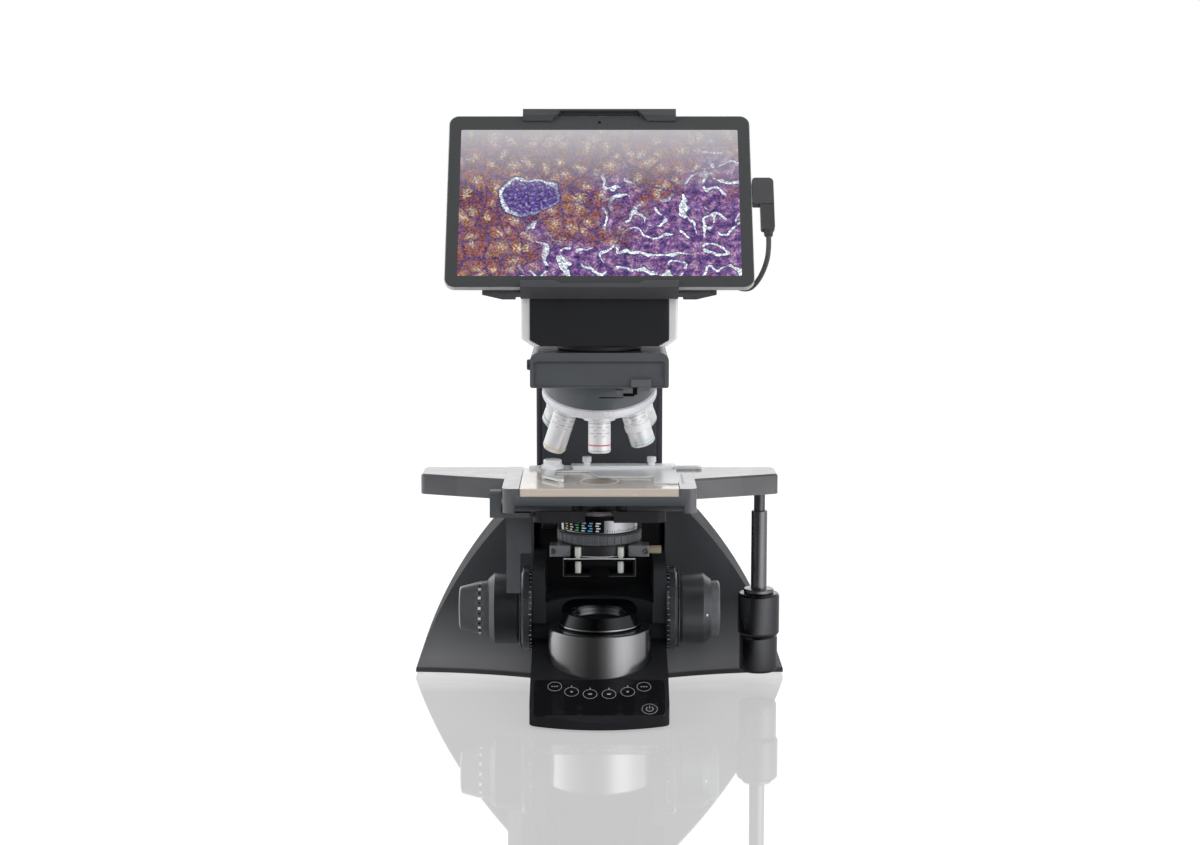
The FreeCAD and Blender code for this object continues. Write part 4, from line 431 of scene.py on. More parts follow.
knurlBlack = metalFinish("knurlBlack", {
    "colour": (0.040, 0.043, 0.047), "deep": (0.032, 0.034, 0.037), "rough": 0.34, "metal": 0.4,
    "centre": (0.0, opticY, 0.0), "axis": (0.0, 0.0, 1.0), "edge": (0.20, 0.21, 0.23), "edgeWearAndLight": 0.5,
})
brassKnurl = metalFinish("brassKnurl", {
    "colour": (0.52, 0.44, 0.34), "deep": (0.42, 0.34, 0.25), "rough": 0.30, "edge": (0.7, 0.6, 0.46), "edgeWearAndLight": 0.5,
    "metal": 0.6,
})
markWhite = paintFinish("markWhite", {
    "colour": (0.66, 0.67, 0.69), "deep": (0.56, 0.57, 0.59), "rough": 0.45, "cloud": 300.0,
})
markGrey = paintFinish("markGrey", {
    "colour": (0.30, 0.31, 0.32), "deep": (0.22, 0.23, 0.24), "rough": 0.45, "cloud": 300.0,
})
markInk = paintFinish("markInk", {
    "colour": (0.035, 0.035, 0.045), "deep": (0.020, 0.020, 0.028), "rough": 0.45, "cloud": 300.0,
})
wireGrey = paintFinish("wireGrey", {
    "colour": (0.11, 0.11, 0.12), "deep": (0.08, 0.08, 0.09), "rough": 0.35, "metal": 0.4,
})
ringRed = paintFinish("ringRed", {"colour": (0.62, 0.045, 0.060), "deep": (0.50, 0.035, 0.050), "rough": 0.35})
ringYellow = paintFinish("ringYellow", {"colour": (0.70, 0.58, 0.24), "deep": (0.60, 0.48, 0.18), "rough": 0.35})
ringGreen = paintFinish("ringGreen", {"colour": (0.10, 0.42, 0.16), "deep": (0.08, 0.34, 0.13), "rough": 0.35})
ringBlue = paintFinish("ringBlue", {"colour": (0.12, 0.34, 0.62), "deep": (0.09, 0.27, 0.52), "rough": 0.35})
ringCyan = paintFinish("ringCyan", {"colour": (0.36, 0.62, 0.66), "deep": (0.28, 0.52, 0.56), "rough": 0.35})
lensGlass = glassFinish("lensGlass", {"colour": (0.008, 0.011, 0.015), "deep": (0.005, 0.007, 0.011), "rough": 0.03})
bezelGlass = glassFinish("bezelGlass", {"colour": (0.055, 0.057, 0.058), "deep": (0.049, 0.051, 0.052), "rough": 0.12})
panelGlass = glassFinish("panelGlass", {"colour": (0.0070, 0.0070, 0.0085), "deep": (0.0055, 0.0055, 0.0070), "rough": 0.08})
print("stage 2: finishes ready")


def barrelFinish(index, place, direction):
    # polished nickel, turned about each objective's own axis
    return metalFinish("barrelNickel%d" % index, {
        "colour": (0.98, 0.98, 1.0), "deep": (0.94, 0.94, 0.97), "rough": 0.20, "centre": tuple(place),
        "axis": tuple(direction), "bump": 0.003, "metal": 0.40, "edgeWearAndLight": 0.1,
    })


def seatFrame(index):
    axis = Vector(noseAxis)
    outward = Vector((0.0, -math.cos(noseTilt), -math.sin(noseTilt)))
    radial = Matrix.Rotation(math.radians(60.0 * index), 3, axis) @ outward
    place = Vector(noseCentre) + radial * 0.032
    return place, axis * math.cos(noseTilt) + radial * math.sin(noseTilt)


nodeFinishes = {
    "foot_casting": footPaint, "skirt_shell": skirtMoulding, "column": columnPaint,
    "column_front_cover": coverPaint, "rear_cover": skirtMoulding, "bottom_plate": zincSheet,
    "rubber_feet": rubberFinish, "power_inlet": inletMoulding, "light_drum": drumSatin,
    "drum_trim_ring": diaphragmSatin, "field_diaphragm_ring": diaphragmSatin, "field_lens": lensGlass,
    "touch_panel": panelGlass, "right_focus_flange": discMoulding, "torque_ring": discMoulding,
    "coarse_shaft": cageBlack, "coarse_knob_left": knobMoulding, "coarse_knob_right": knobMoulding,
    "fine_knob_left": fineMoulding, "fine_knob_right": fineMoulding, "focus_carriage": columnPaint,
    "stage_carrier": columnPaint, "stage_side_plate": hammeredGrey, "stage_plate": wingPaint,
    "ceramic_plate": ceramicGlaze, "specimen_rail": steelBrushed, "slide_holder": steelBrushed,
    "clip_lever": steelBrushed, "drive_rod": rodSatin, "drive_tube": tubePaint,
    "y_knob": driveSatin, "x_knob": driveSatin, "condenser_body": condenserSatin,
    "condenser_lens": lensGlass, "aperture_ring": knurlBlack, "condenser_carrier": carrierPaint,
    "condenser_cage": cageBlack, "condenser_knob": knobMoulding, "centring_screw": brassKnurl,
    "head_block": headPaint, "nosepiece_mount": domePaint, "nosepiece_turret": turretSatin,
    "camera_dovetail": blackAnodised, "camera_housing": cameraSatin, "camera_front_panel": blackAnodised,
    "camera_clamp_screw": knurlBlack, "tablet_shell": tabletMetal, "tablet_glass": bezelGlass,
    "cradle_bracket": hammeredGrey, "cradle_back": cradleMoulding, "upper_jaw": cradleMoulding,
    "usb_plug": plugMoulding, "camera_plug": plugMoulding, "usb_cable": cableFinish,
}


def dressNode(name, material):
    slots = nodes[name].data.materials
    slots.clear()
    slots.append(material)


for name, material in nodeFinishes.items():
    dressNode(name, material)
for index in range(6):
    dressNode("objective_%d" % (index + 1), barrelFinish(index + 1, *seatFrame(index)))
print("stage 3: solids dressed")


# Mesh building blocks

def keepEdges(mesh, limit=32.0):
    work = bmesh.new()
    work.from_mesh(mesh)
    for face in work.faces:
        face.smooth = True
    for edge in work.edges:
        if len(edge.link_faces) == 2 and edge.calc_face_angle(0.0) > math.radians(limit):
            edge.smooth = False
    work.to_mesh(mesh)
    work.free()


def addPiece(name, points, faces, material, body, limit=32.0):
    mesh = bpy.data.meshes.new(name)
    mesh.from_pydata([tuple(point) for point in points], [], faces)
    work = bmesh.new()
    work.from_mesh(mesh)
    bmesh.ops.remove_doubles(work, verts=work.verts, dist=1e-7)
    bmesh.ops.recalc_face_normals(work, faces=work.faces)
    work.to_mesh(mesh)
    work.free()
    keepEdges(mesh, limit)
    mesh.materials.append(material)
    piece = bpy.data.objects.new(name, mesh)
    bpy.context.scene.collection.objects.link(piece)
    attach(piece, body)
    return piece


def turnTo(direction):
    return Vector(direction).to_track_quat("Z", "Y").to_matrix()


def turnedForm(profile, place, direction, segments=72, flutes=0, fluteDepth=0.0, fluteFrom=1.0):
    # closed ring swept about an axis, from (radius, distance along) points in metres
    turn = turnTo(direction)
    centre = Vector(place)
    points, faces = [], []
    steps = max(segments, flutes * 6)
    count = len(profile)
    for step in range(steps):
        angle = 2.0 * math.pi * step / steps
        dip = fluteDepth * (0.5 - 0.5 * math.cos(flutes * angle)) if flutes else 0.0
        for radius, along in profile:
            size = radius - dip if radius >= fluteFrom else radius
            local = Vector((size * math.cos(angle), size * math.sin(angle), along))
            points.append(centre + turn @ local)
    for step in range(steps):
        here, there = step * count, ((step + 1) % steps) * count
        for row in range(count):
            following = (row + 1) % count
            faces.append((here + row, here + following, there + following, there + row))
    return points, faces


def ringPiece(name, profile, place, direction, material, body, **form):
    points, faces = turnedForm(profile, place, direction, **form)
    return addPiece(name, points, faces, material, body)


def prismForm(outline, low, high, toPlace):
    # prism over a flat outline; toPlace turns (across, up, height) into the frame
    count = len(outline)
    points = [toPlace(x, y, low) for x, y in outline] + [toPlace(x, y, high) for x, y in outline]
    faces = [tuple(range(count)), tuple(range(count, 2 * count))]
    for index in range(count):
        following = (index + 1) % count
        faces.append((index, following, following + count, index + count))
    return points, faces


def roundedOutline(left, right, bottom, top, radius, steps=6):
    points = []
    for x, y, start in ((right, top, 0), (left, top, 90), (left, bottom, 180), (right, bottom, 270)):
        cx = x - radius if x == right else x + radius
        cy = y - radius if y == top else y + radius
        for step in range(steps + 1):
            angle = math.radians(start + 90.0 * step / steps)
            points.append((cx + radius * math.cos(angle), cy + radius * math.sin(angle)))
    return points


def slabPiece(name, outline, low, high, toPlace, material, body, bevel=0.0):
    points, faces = prismForm(outline, low, high, toPlace)
    piece = addPiece(name, points, faces, material, body)
    if bevel > 0.0:
        softenEdges(piece, bevel)
    return piece


def arcForm(profile, place, direction, facing, sweep, steps=10):
    # part of a turned ring, sweep degrees wide about the side that faces outward
    axis = Vector(direction).normalized()
    outward = Vector(facing)
    outward = (outward - axis * axis.dot(outward)).normalized()
    beside = axis.cross(outward)
    centre = Vector(place)
    count = len(profile)
    points, faces = [], []
    for step in range(steps + 1):
        angle = math.radians(sweep) * (step / steps - 0.5)
        heading = outward * math.cos(angle) + beside * math.sin(angle)
        points += [centre + heading * radius + axis * along for radius, along in profile]
    for step in range(steps):
        here, there = step * count, (step + 1) * count
        for row in range(count):
            following = (row + 1) % count
            faces.append((here + row, here + following, there + following, there + row))
    faces.append(tuple(range(count)))
    faces.append(tuple(range(steps * count, (steps + 1) * count)))
    return points, faces


def skin(radius, low, high, thickness=0.00012):
    # outline of a thin layer on a round surface
    return [(radius - 0.0003, low), (radius + thickness, low), (radius + thickness, high), (radius - 0.0003, high)]


def turnedAbout(facing, axis, degrees):
    return Matrix.Rotation(math.radians(degrees), 3, Vector(axis)) @ Vector(facing)


def boxForm(low, high):
    x0, y0, z0 = low
    x1, y1, z1 = high
    return prismForm([(x0, y0), (x1, y0), (x1, y1), (x0, y1)], z0, z1, lambda x, y, z: Vector((x, y, z)))


def formPiece(name, forms, material, body, limit=32.0):
    points, faces = joinForms(forms)
    return addPiece(name, points, faces, material, body, limit)


def softenEdges(piece, width, segments=2):
    soft = piece.modifiers.new("softEdges", "BEVEL")
    soft.width = width
    soft.segments = segments
    soft.limit_method = "ANGLE"
    return piece


def joinForms(forms):
    points, faces = [], []
    for morePoints, moreFaces in forms:
        start = len(points)
        points += morePoints
        faces += [tuple(start + corner for corner in face) for face in moreFaces]
    return points, faces


def socketScrew(place, direction, radius):
    # cylinder head with a rounded shoulder and a six-sided recess
    turn = turnTo(direction)
    centre = Vector(place)
    height = radius * 0.9
    rim = [(radius, -height * 0.3), (radius, height * 0.72), (radius * 0.86, height), (radius * 0.56, height)]
    points, faces = [], []
    sides = 48
    for level in rim + [(radius * 0.5, height * 0.9), (radius * 0.5, height * 0.35), (0.0, height * 0.3)]:
        for side in range(sides):
            angle = 2.0 * math.pi * side / sides
            size = level[0]
            if size <= radius * 0.5 and size > 0.0:
                sector = (angle + math.pi / 6.0) % (math.pi / 3.0) - math.pi / 6.0
                size = size * math.cos(math.pi / 6.0) / math.cos(sector)
            points.append(centre + turn @ Vector((size * math.cos(angle), size * math.sin(angle), level[1])))
    rows = len(rim) + 3
    for row in range(rows - 1):
        for side in range(sides):
            following = (side + 1) % sides
            faces.append((row * sides + side, row * sides + following,
                          (row + 1) * sides + following, (row + 1) * sides + side))
    faces.append(tuple(range(sides)))
    return points, faces


# Cable, between the tablet's plug and the camera's

cableLook = {
    "radius": 0.0021,
    "length": 0.2155,
    "sides": 20,
    "route": (
        (0.1398, -0.08818, 0.40495),
        (0.1398, -0.0958, 0.3932),
        (0.1363, -0.0975, 0.3790),
        (0.1303, -0.0924, 0.3666),
        (0.1234, -0.0812, 0.3594),
        (0.1120, -0.0545, 0.3612),
        (0.0985, -0.0220, 0.3616),
        (0.0830, -0.0030, 0.3598),
        (0.0665, 0.0096, 0.3560),
        (0.0515, 0.0154, 0.3476),
        (0.0365, 0.0159, 0.3400),
        (0.0222, 0.0159, 0.3400),
    ),
}


def splineLine(name, route):
    curve = bpy.data.curves.new(name, "CURVE")
    curve.dimensions = "3D"
    curve.resolution_u = 12
    spline = curve.splines.new("NURBS")
    spline.points.add(len(route) - 1)
    for point, place in zip(spline.points, route):
        point.co = tuple(place) + (1.0,)
    spline.order_u = 3
    spline.use_endpoint_u = True
    holder = bpy.data.objects.new(name, curve)
    bpy.context.scene.collection.objects.link(holder)
    bpy.context.view_layer.update()
    mesh = bpy.data.meshes.new_from_object(holder)
    line = [vertex.co.copy() for vertex in mesh.vertices]
    bpy.data.objects.remove(holder)
    bpy.data.meshes.remove(mesh)
    return line


def tubeForm(line, radius, sides):
    # round tube along a line, its section carried on without twist
    points, faces = [], []
    forward = (line[1] - line[0]).normalized()
    side = forward.orthogonal().normalized()
    for index, place in enumerate(line):
        if index < len(line) - 1:
            heading = (line[index + 1] - line[max(index - 1, 0)]).normalized()
        else:
            heading = (line[index] - line[index - 1]).normalized()
        side = (side - heading * side.dot(heading)).normalized()
        lift = heading.cross(side)
        for step in range(sides):
            angle = 2.0 * math.pi * step / sides
            points.append(place + (side * math.cos(angle) + lift * math.sin(angle)) * radius)
    for index in range(len(line) - 1):
        for step in range(sides):
            following = (step + 1) % sides
            here, there = index * sides, (index + 1) * sides
            faces.append((here + step, here + following, there + following, there + step))
    faces.append(tuple(range(sides)))
    faces.append(tuple(range((len(line) - 1) * sides, len(line) * sides)))
    return points, faces


def makeCable(look):
    line = splineLine("cableLine", look["route"])
    points, faces = tubeForm(line, look["radius"], look["sides"])
    mesh = bpy.data.meshes.new("screenCable")
    mesh.from_pydata([tuple(point) for point in points], [], faces)
    keepEdges(mesh, 50.0)
    mesh.materials.append(cableFinish)
    cable = bpy.data.objects.new("screenCable", mesh)
    bpy.context.scene.collection.objects.link(cable)
    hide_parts("usb_cable")
    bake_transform(cable)


makeCable(cableLook)
print("stage 4: cable laid")


# Tablet

tabletLean = math.radians(33.0)
tabletFoot = Vector((0.0, -0.118, 0.365))


def tabletPlace(across, up, outward):
    # a point on the tablet's face: outward is towards the viewer
    back = -outward
    y = tabletFoot.y + up * math.sin(tabletLean) + back * math.cos(tabletLean)
    z = tabletFoot.z + up * math.cos(tabletLean) - back * math.sin(tabletLean)
    return Vector((across, y, z))


def tabletOutward():
    return tabletPlace(0.0, 0.0, 1.0) - tabletPlace(0.0, 0.0, 0.0)


screenLook = {
    "halfWidth": 0.1165,
    "low": 0.0104,
    "high": 0.1510,
    "brightness": 0.95,
    "cells": 9.0,  # tubules over the screen's height
    "tubules": ((0.16, 0.050, 0.045), (0.27, 0.090, 0.060), (0.33, 0.155, 0.085)),
    "violet": ((0.055, 0.030, 0.15), (0.16, 0.065, 0.20), (0.42, 0.25, 0.40)),
    "network": (0.050, 0.038, 0.17),
    "cream": (0.60, 0.50, 0.33),
    "lumen": (0.82, 0.90, 0.88),
    "tuft": (0.075, 0.040, 0.20),
    "knot": (0.34, 0.27, 0.50),
    "body": (0.50, 0.62),
    "bodySize": (6.6, 8.2),
}


def cellField(tree, place, scale, feature="F1"):
    cells = addNode(tree, "ShaderNodeTexVoronoi", voronoi_dimensions="2D", feature=feature)
    cells.inputs["Scale"].default_value = scale
    cells.inputs["Randomness"].default_value = 0.9
    wire(tree, place, cells.inputs["Vector"])
    return cells.outputs


def firstChannel(tree, colour, channel="Red"):
    split = addNode(tree, "ShaderNodeSeparateColor")
    wire(tree, colour, split.inputs[0])
    return split.outputs[channel]


def screenMaterial(look):
    # stained tissue as a microscope shows it: tubules with pale hollows, grains, one round body
    material, tree, shader = blankMaterial("screenPicture")
    flat = addNode(tree, "ShaderNodeUVMap").outputs["UV"]
    wander = addNode(tree, "ShaderNodeTexNoise")
    wander.inputs["Scale"].default_value = 5.5
    wander.inputs["Detail"].default_value = 1.5
    wire(tree, flat, wander.inputs["Vector"])
    pulled = addNode(tree, "ShaderNodeVectorMath", operation="MULTIPLY_ADD")
    pulled.inputs[1].default_value = (0.15, 0.15, 0.0)
    wire(tree, wander.outputs["Color"], pulled.inputs[0])
    wire(tree, flat, pulled.inputs[2])
    pulled = pulled.outputs["Vector"]

    tubules = cellField(tree, pulled, look["cells"])
    rims = cellField(tree, pulled, look["cells"], "DISTANCE_TO_EDGE")
    grains = cellField(tree, flat, 120.0)
    fine = noiseField(tree, flat, 75.0, 6.0)
    broad = noiseField(tree, flat, 22.0, 4.0)
    split = addNode(tree, "ShaderNodeSeparateXYZ")
    wire(tree, flat, split.inputs["Vector"])
    # violet gathers towards the lower right, warm tissue fills the rest
    slant = calculate(tree, "MULTIPLY_ADD", split.outputs["X"], 0.42, 0.0)
    slant = calculate(tree, "MULTIPLY_ADD", split.outputs["Y"], -0.75, slant)
    slant = calculate(tree, "MULTIPLY_ADD", noiseField(tree, flat, 2.4, 2.0), 1.6, slant)
    violetShare = spread(tree, slant, 0.0, 1.0, 0.80, 0.96)

    tone = firstChannel(tree, tubules["Color"])
    warm = ramp(tree, tone, tuple(zip((0.0, 0.5, 1.0), look["tubules"])))
    violet = ramp(tree, broad, tuple(zip((0.36, 0.48, 0.62), look["violet"])))
    web = calculate(tree, "MULTIPLY_ADD", broad, -0.35, rims["Distance"])
    web = spread(tree, web, 0.75, 0.0, -0.16, -0.07)
    warm = mixColours(tree, web, warm, look["network"])
    ragged = calculate(tree, "MULTIPLY_ADD", fine, 0.9, tubules["Distance"])
    warm = mixColours(tree, spread(tree, ragged, 0.85, 0.0, 0.52, 0.74), warm, look["cream"])
    tissue = mixColours(tree, violetShare, warm, violet)

    # coiled hollows in the violet part, white with a dark wall
    coil = noiseField(tree, pulled, 8.5, 0.5)
    away = calculate(tree, "ABSOLUTE", calculate(tree, "SUBTRACT", coil, 0.5))
    away = calculate(tree, "MULTIPLY_ADD", fine, 0.020, away)
    open_ = calculate(tree, "MULTIPLY", violetShare, spread(tree, noiseField(tree, flat, 11.0, 1.0), 0.0, 1.0, 0.44, 0.49))
    wall = calculate(tree, "MULTIPLY", spread(tree, away, 1.0, 0.0, 0.062, 0.085), open_)
    tissue = mixColours(tree, wall, tissue, look["network"])
    hole = calculate(tree, "MULTIPLY", spread(tree, away, 1.0, 0.0, 0.040, 0.056), open_)
    tissue = mixColours(tree, hole, tissue, look["lumen"])

    # one round body with a pale crescent at its edge
    from_ = addNode(tree, "ShaderNodeVectorMath", operation="SUBTRACT")
    from_.inputs[1].default_value = tuple(look["body"]) + (0.0,)
    wire(tree, pulled, from_.inputs[0])
    oval = addNode(tree, "ShaderNodeVectorMath", operation="MULTIPLY")
    oval.inputs[1].default_value = tuple(look["bodySize"]) + (0.0,)
    wire(tree, from_.outputs["Vector"], oval.inputs[0])
    reach = addNode(tree, "ShaderNodeVectorMath", operation="LENGTH")
    wire(tree, oval.outputs["Vector"], reach.inputs[0])
    reach = calculate(tree, "MULTIPLY_ADD", fine, 0.16, reach.outputs["Value"])
    sides = addNode(tree, "ShaderNodeSeparateXYZ")
    wire(tree, oval.outputs["Vector"], sides.inputs["Vector"])
    crescent = spread(tree, calculate(tree, "SUBTRACT", sides.outputs["Y"], sides.outputs["X"]), 0.25, 1.0, -0.5, 0.3)
    tissue = mixColours(tree, spread(tree, reach, 1.0, 0.0, 1.26, 1.31), tissue, look["network"])
    pale = calculate(tree, "MULTIPLY", spread(tree, reach, 1.0, 0.0, 1.20, 1.24), crescent)
    tissue = mixColours(tree, pale, tissue, look["lumen"])
    knots = spread(tree, noiseField(tree, flat, 46.0, 1.5), 0.0, 0.75, 0.50, 0.62)
    tuft = mixColours(tree, knots, look["tuft"], look["knot"])
    tissue = mixColours(tree, spread(tree, reach, 1.0, 0.0, 1.07, 1.12), tissue, tuft)

    # grains: strong speckle, some of it violet
    speck = ramp(tree, firstChannel(tree, grains["Color"]), ((0.0, (0.30, 0.30, 0.36)), (0.55, (1.0, 1.0, 1.0)), (1.0, (2.2, 2.1, 2.1))))
    tissue = mixColours(tree, 0.80, tissue, speck, "MULTIPLY")
    tint = spread(tree, firstChannel(tree, grains["Color"], "Green"), 0.0, 0.55, 0.60, 0.90)
    tissue = mixColours(tree, tint, tissue, (0.16, 0.13, 0.42))

    # painted reflection, pale towards the top of the glass
    glare = spread(tree, split.outputs["Y"], 0.0, 0.84, 0.56, 1.0)
    tissue = mixColours(tree, glare, tissue, (0.60, 0.60, 0.62))
    wire(tree, tissue, shader.inputs["Emission Color"])
    shader.inputs["Emission Strength"].default_value = look["brightness"]
    shader.inputs["Base Color"].default_value = (0.01, 0.01, 0.012, 1.0)
    shader.inputs["Coat Weight"].default_value = 0.3
    wire(tree, spread(tree, fine, 0.10, 0.16), shader.inputs["Roughness"])
    raise_(tree, shader, broad, 0.01, 0.0001)
    return material


def makeScreen(look):
    half, low, high = look["halfWidth"], look["low"], look["high"]
    outline = roundedOutline(-half, half, low, high, 0.0012, 3)
    points = [tabletPlace(x, y, 0.00008) for x, y in outline]
    points += [tabletPlace(x, y, -0.0001) for x, y in outline]
    count = len(outline)
    faces = [tuple(range(count)), tuple(range(2 * count - 1, count - 1, -1))]
    faces += [(i, (i + 1) % count, (i + 1) % count + count, i + count) for i in range(count)]
    mesh = bpy.data.meshes.new("screen")
    mesh.from_pydata([tuple(point) for point in points], [], faces)
    layer = mesh.uv_layers.new(name="screenMap")
    ratio = 2.0 * half / (high - low)
    flat = outline + outline
    for loop in mesh.loops:
        x, y = flat[loop.vertex_index]
        layer.data[loop.index].uv = ((x + half) / (2.0 * half) * ratio, (y - low) / (high - low))
    mesh.materials.append(screenMaterial(look))
    screen = bpy.data.objects.new("screen", mesh)
    bpy.context.scene.collection.objects.link(screen)
    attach(screen, "tablet")


makeScreen(screenLook)
print("stage 5: screen lit")


# Objectives and nosepiece

objectiveLook = {
    "sizes": (  # length, barrel diameter, tip diameter, tip length, in metres
        (0.0315, 0.0192, 0.0172, 0.0020), (0.0405, 0.0200, 0.0164, 0.0035), (0.0410, 0.0248, 0.0152, 0.0060),
        (0.0390, 0.0204, 0.0112, 0.0060), (0.0410, 0.0252, 0.0156, 0.0060), (0.0345, 0.0216, 0.0184, 0.0025),
    ),
    "bands": (ringRed, ringYellow, ringGreen, ringBlue, markWhite, ringCyan),
    "bandFrom": (0.0232, 0.0352, 0.0300, 0.0290, 0.0300, 0.0278),
    "collars": (2, 4, 5),  # with a knurled collar
}


def makeObjective(index, look):
    length, barrel, tip, tipLength = look["sizes"][index]
    place, direction = seatFrame(index)
    radius = barrel / 2.0
    label = "objective%d" % (index + 1)
    facing = Vector((0.0, -1.0, -0.2))
    start = look["bandFrom"][index]
    ringPiece(label + "Band", skin(radius, start, start + 0.0009), place, direction, look["bands"][index], "nosepiece")
    grooves = []
    for along in (0.0048, length - tipLength - 0.0012):
        grooves.append(turnedForm(skin(radius, along, along + 0.0003, 0.00005), place, direction))
    formPiece(label + "Grooves", grooves, markInk, "nosepiece")
    ticks = []
    for row, along in enumerate((0.0078, 0.0104, 0.0130, 0.0156)):
        for column in range(3 - row % 2):
            width = (26.0, 14.0, 34.0, 18.0)[row]
            turn = (column - 1 + 0.5 * (row % 2)) * 44.0
            heading = turnedAbout(facing, direction, turn)
            ticks.append(arcForm(skin(radius, along, along + 0.0006, 0.00005), place, direction, heading, width, 6))
    formPiece(label + "Marks", ticks, markGrey, "nosepiece")
    glass = [(0.0, length - 0.0004), (tip * 0.17, length - 0.0004), (tip * 0.17, length + 0.00012), (0.0, length + 0.00025)]
    ringPiece(label + "Lens", glass, place, direction, lensGlass, "nosepiece", segments=40)
    if index in look["collars"]:
        middle = length * 0.47
        knurl = [
            (radius - 0.0003, middle - 0.0034), (radius + 0.0003, middle - 0.0030), (radius + 0.0006, middle - 0.0022),
            (radius + 0.0006, middle + 0.0022), (radius + 0.0003, middle + 0.0030), (radius - 0.0003, middle + 0.0034),
        ]
        ringPiece(label + "Collar", knurl, place, direction, steelBrushed, "nosepiece", segments=96, flutes=48,
                  fluteDepth=0.0002, fluteFrom=radius + 0.0005)


for index in range(6):
    makeObjective(index, objectiveLook)

# painted highlights: thin white and grey bars along the condenser cage's front edges
cageLook = {
    "front": -0.09255,
    "bars": (
        (-0.0306, 0.0306, 0.1342, 0.1347), (-0.0306, -0.0301, 0.1194, 0.1347), (0.0301, 0.0306, 0.1194, 0.1347),
        (-0.0306, -0.0080, 0.1194, 0.1198), (0.0080, 0.0306, 0.1194, 0.1198),
    ),
}


def frontBar(left, right, low, high, front, depth=0.0003):
    return boxForm((left, front, low), (right, front + depth, high))


cageBars = [frontBar(*bar, cageLook["front"]) for bar in cageLook["bars"]]
formPiece("cageTopEdge", cageBars[:1], markWhite, "condenser")
formPiece("cageEdges", cageBars[1:], wireGrey, "condenser")

turretLook = {
    "lip": ((0.0484, -0.0062), (0.0491, -0.0064), (0.0494, -0.0072), (0.0494, -0.0078), (0.0490, -0.0082),
            (0.0484, -0.0082)),
    "grip": ((0.0486, -0.0104), (0.0492, -0.0106), (0.0492, -0.0134), (0.0486, -0.0136)),
}
ringPiece("turretLip", turretLook["lip"], noseCentre, noseAxis, turretSatin, "nosepiece", segments=144)
ringPiece("turretGrip", turretLook["grip"], noseCentre, noseAxis, turretSatin, "nosepiece", segments=144, flutes=72,
          fluteDepth=0.0002, fluteFrom=0.0491)
print("stage 6: objectives marked")


# Head and the slider above the nosepiece

seamLook = {
    "face": -0.0930,
    "lines": ((-0.0545, -0.0541, 0.2795, 0.3002), (0.0524, 0.0528, 0.2868, 0.3002), (-0.0545, 0.0528, 0.2999, 0.3003)),
}
seamForms = [boxForm((left, seamLook["face"] - 0.0001, low), (right, seamLook["face"] + 0.0002, high))
             for left, right, low, high in seamLook["lines"]]
formPiece("headSeam", seamForms, columnPaint, "stand")

sliderLook = {
    "block": ((0.0262, -0.0950, 0.2798), (0.0430, -0.0900, 0.2865)),
    "step": ((0.0322, -0.0950, 0.2764), (0.0420, -0.0900, 0.2800)),
    "nub": ((0.0142, -0.0935, 0.2704), (0.0200, -0.0840, 0.2772)),
    "shadows": (
        ((0.0278, -0.0946, 0.2736), (0.0314, -0.0905, 0.2794)), ((0.0200, -0.0942, 0.2722), (0.0292, -0.0905, 0.2744)),
        ((0.0000, -0.0938, 0.2706), (0.0200, -0.0905, 0.2712)),
    ),
}

softenEdges(formPiece("sliderBlock", [boxForm(*sliderLook["block"])], sliderGrey, "stand"), 0.0006)
softenEdges(formPiece("sliderStep", [boxForm(*sliderLook["step"])], sliderGrey, "stand"), 0.0005)
softenEdges(formPiece("sliderNub", [boxForm(*sliderLook["nub"])], sliderGrey, "stand"), 0.0005)
# painted shadow: black sheets laid under and beside the slider where its shade falls
formPiece("sliderGuide", [boxForm(*shadow) for shadow in sliderLook["shadows"]], cageBlack, "stand")


# Stage

stageLook = {
    "hole": 0.0150,
    "insert": 0.0172,
    "halfSlot": 0.002,
    "level": 0.1942,
    "railTicks": (-0.055, 0.085, 0.002),
    "railFront": 0.0052,
    "sideTicks": (-0.070, -0.020, 0.002),
}


def slotOutline(radius, half, steps=28):
    points = []
    for end in (1.0, -1.0):
        for step in range(steps + 1):
            angle = math.pi * step / steps + (0.0 if end > 0.0 else math.pi)
            points.append((radius * math.cos(angle), opticY + end * half + radius * math.sin(angle)))
    return points


def slotRing(inner, outer, half, low, high):
    rims = [slotOutline(outer, half), slotOutline(inner, half)]
    count = len(rims[0])
    points = [Vector((x, y, z)) for z in (low, high) for rim in rims for x, y in rim]
    faces = []
    for index in range(count):
        following = (index + 1) % count
        for first, second in ((0, 1), (1, 3), (3, 2), (2, 0)):
            faces.append((first * count + index, first * count + following,
                          second * count + following, second * count + index))
    return points, faces


def makeStageMarks(look):
    ring = slotRing(look["hole"], look["insert"], look["halfSlot"], look["level"], look["level"] + 0.0007)
    formPiece("stageInsert", [ring], steelBrushed, "specimen_table")
    ticks = []
    first, last, step = look["railTicks"]
    for order in range(int(round((last - first) / step)) + 1):
        across = first + order * step
        reach = 0.0022 if order % 5 == 0 else 0.0013
        front = look["railFront"]
        ticks.append(boxForm((across - 0.00012, front, 0.1972), (across + 0.00012, front + reach, 0.19735)))
    formPiece("railScale", ticks, markInk, "specimen_table")
    ticks = []
    first, last, step = look["sideTicks"]
    for order in range(int(round((last - first) / step)) + 1):
        along = first + order * step
        reach = 0.0028 if order % 5 == 0 else 0.0017
        ticks.append(boxForm((0.0700, along - 0.00012, 0.1949), (0.0700 + reach, along + 0.00012, 0.19505)))
    formPiece("sideScale", ticks, markGrey, "stage_lift")


makeStageMarks(stageLook)


# Touch panel

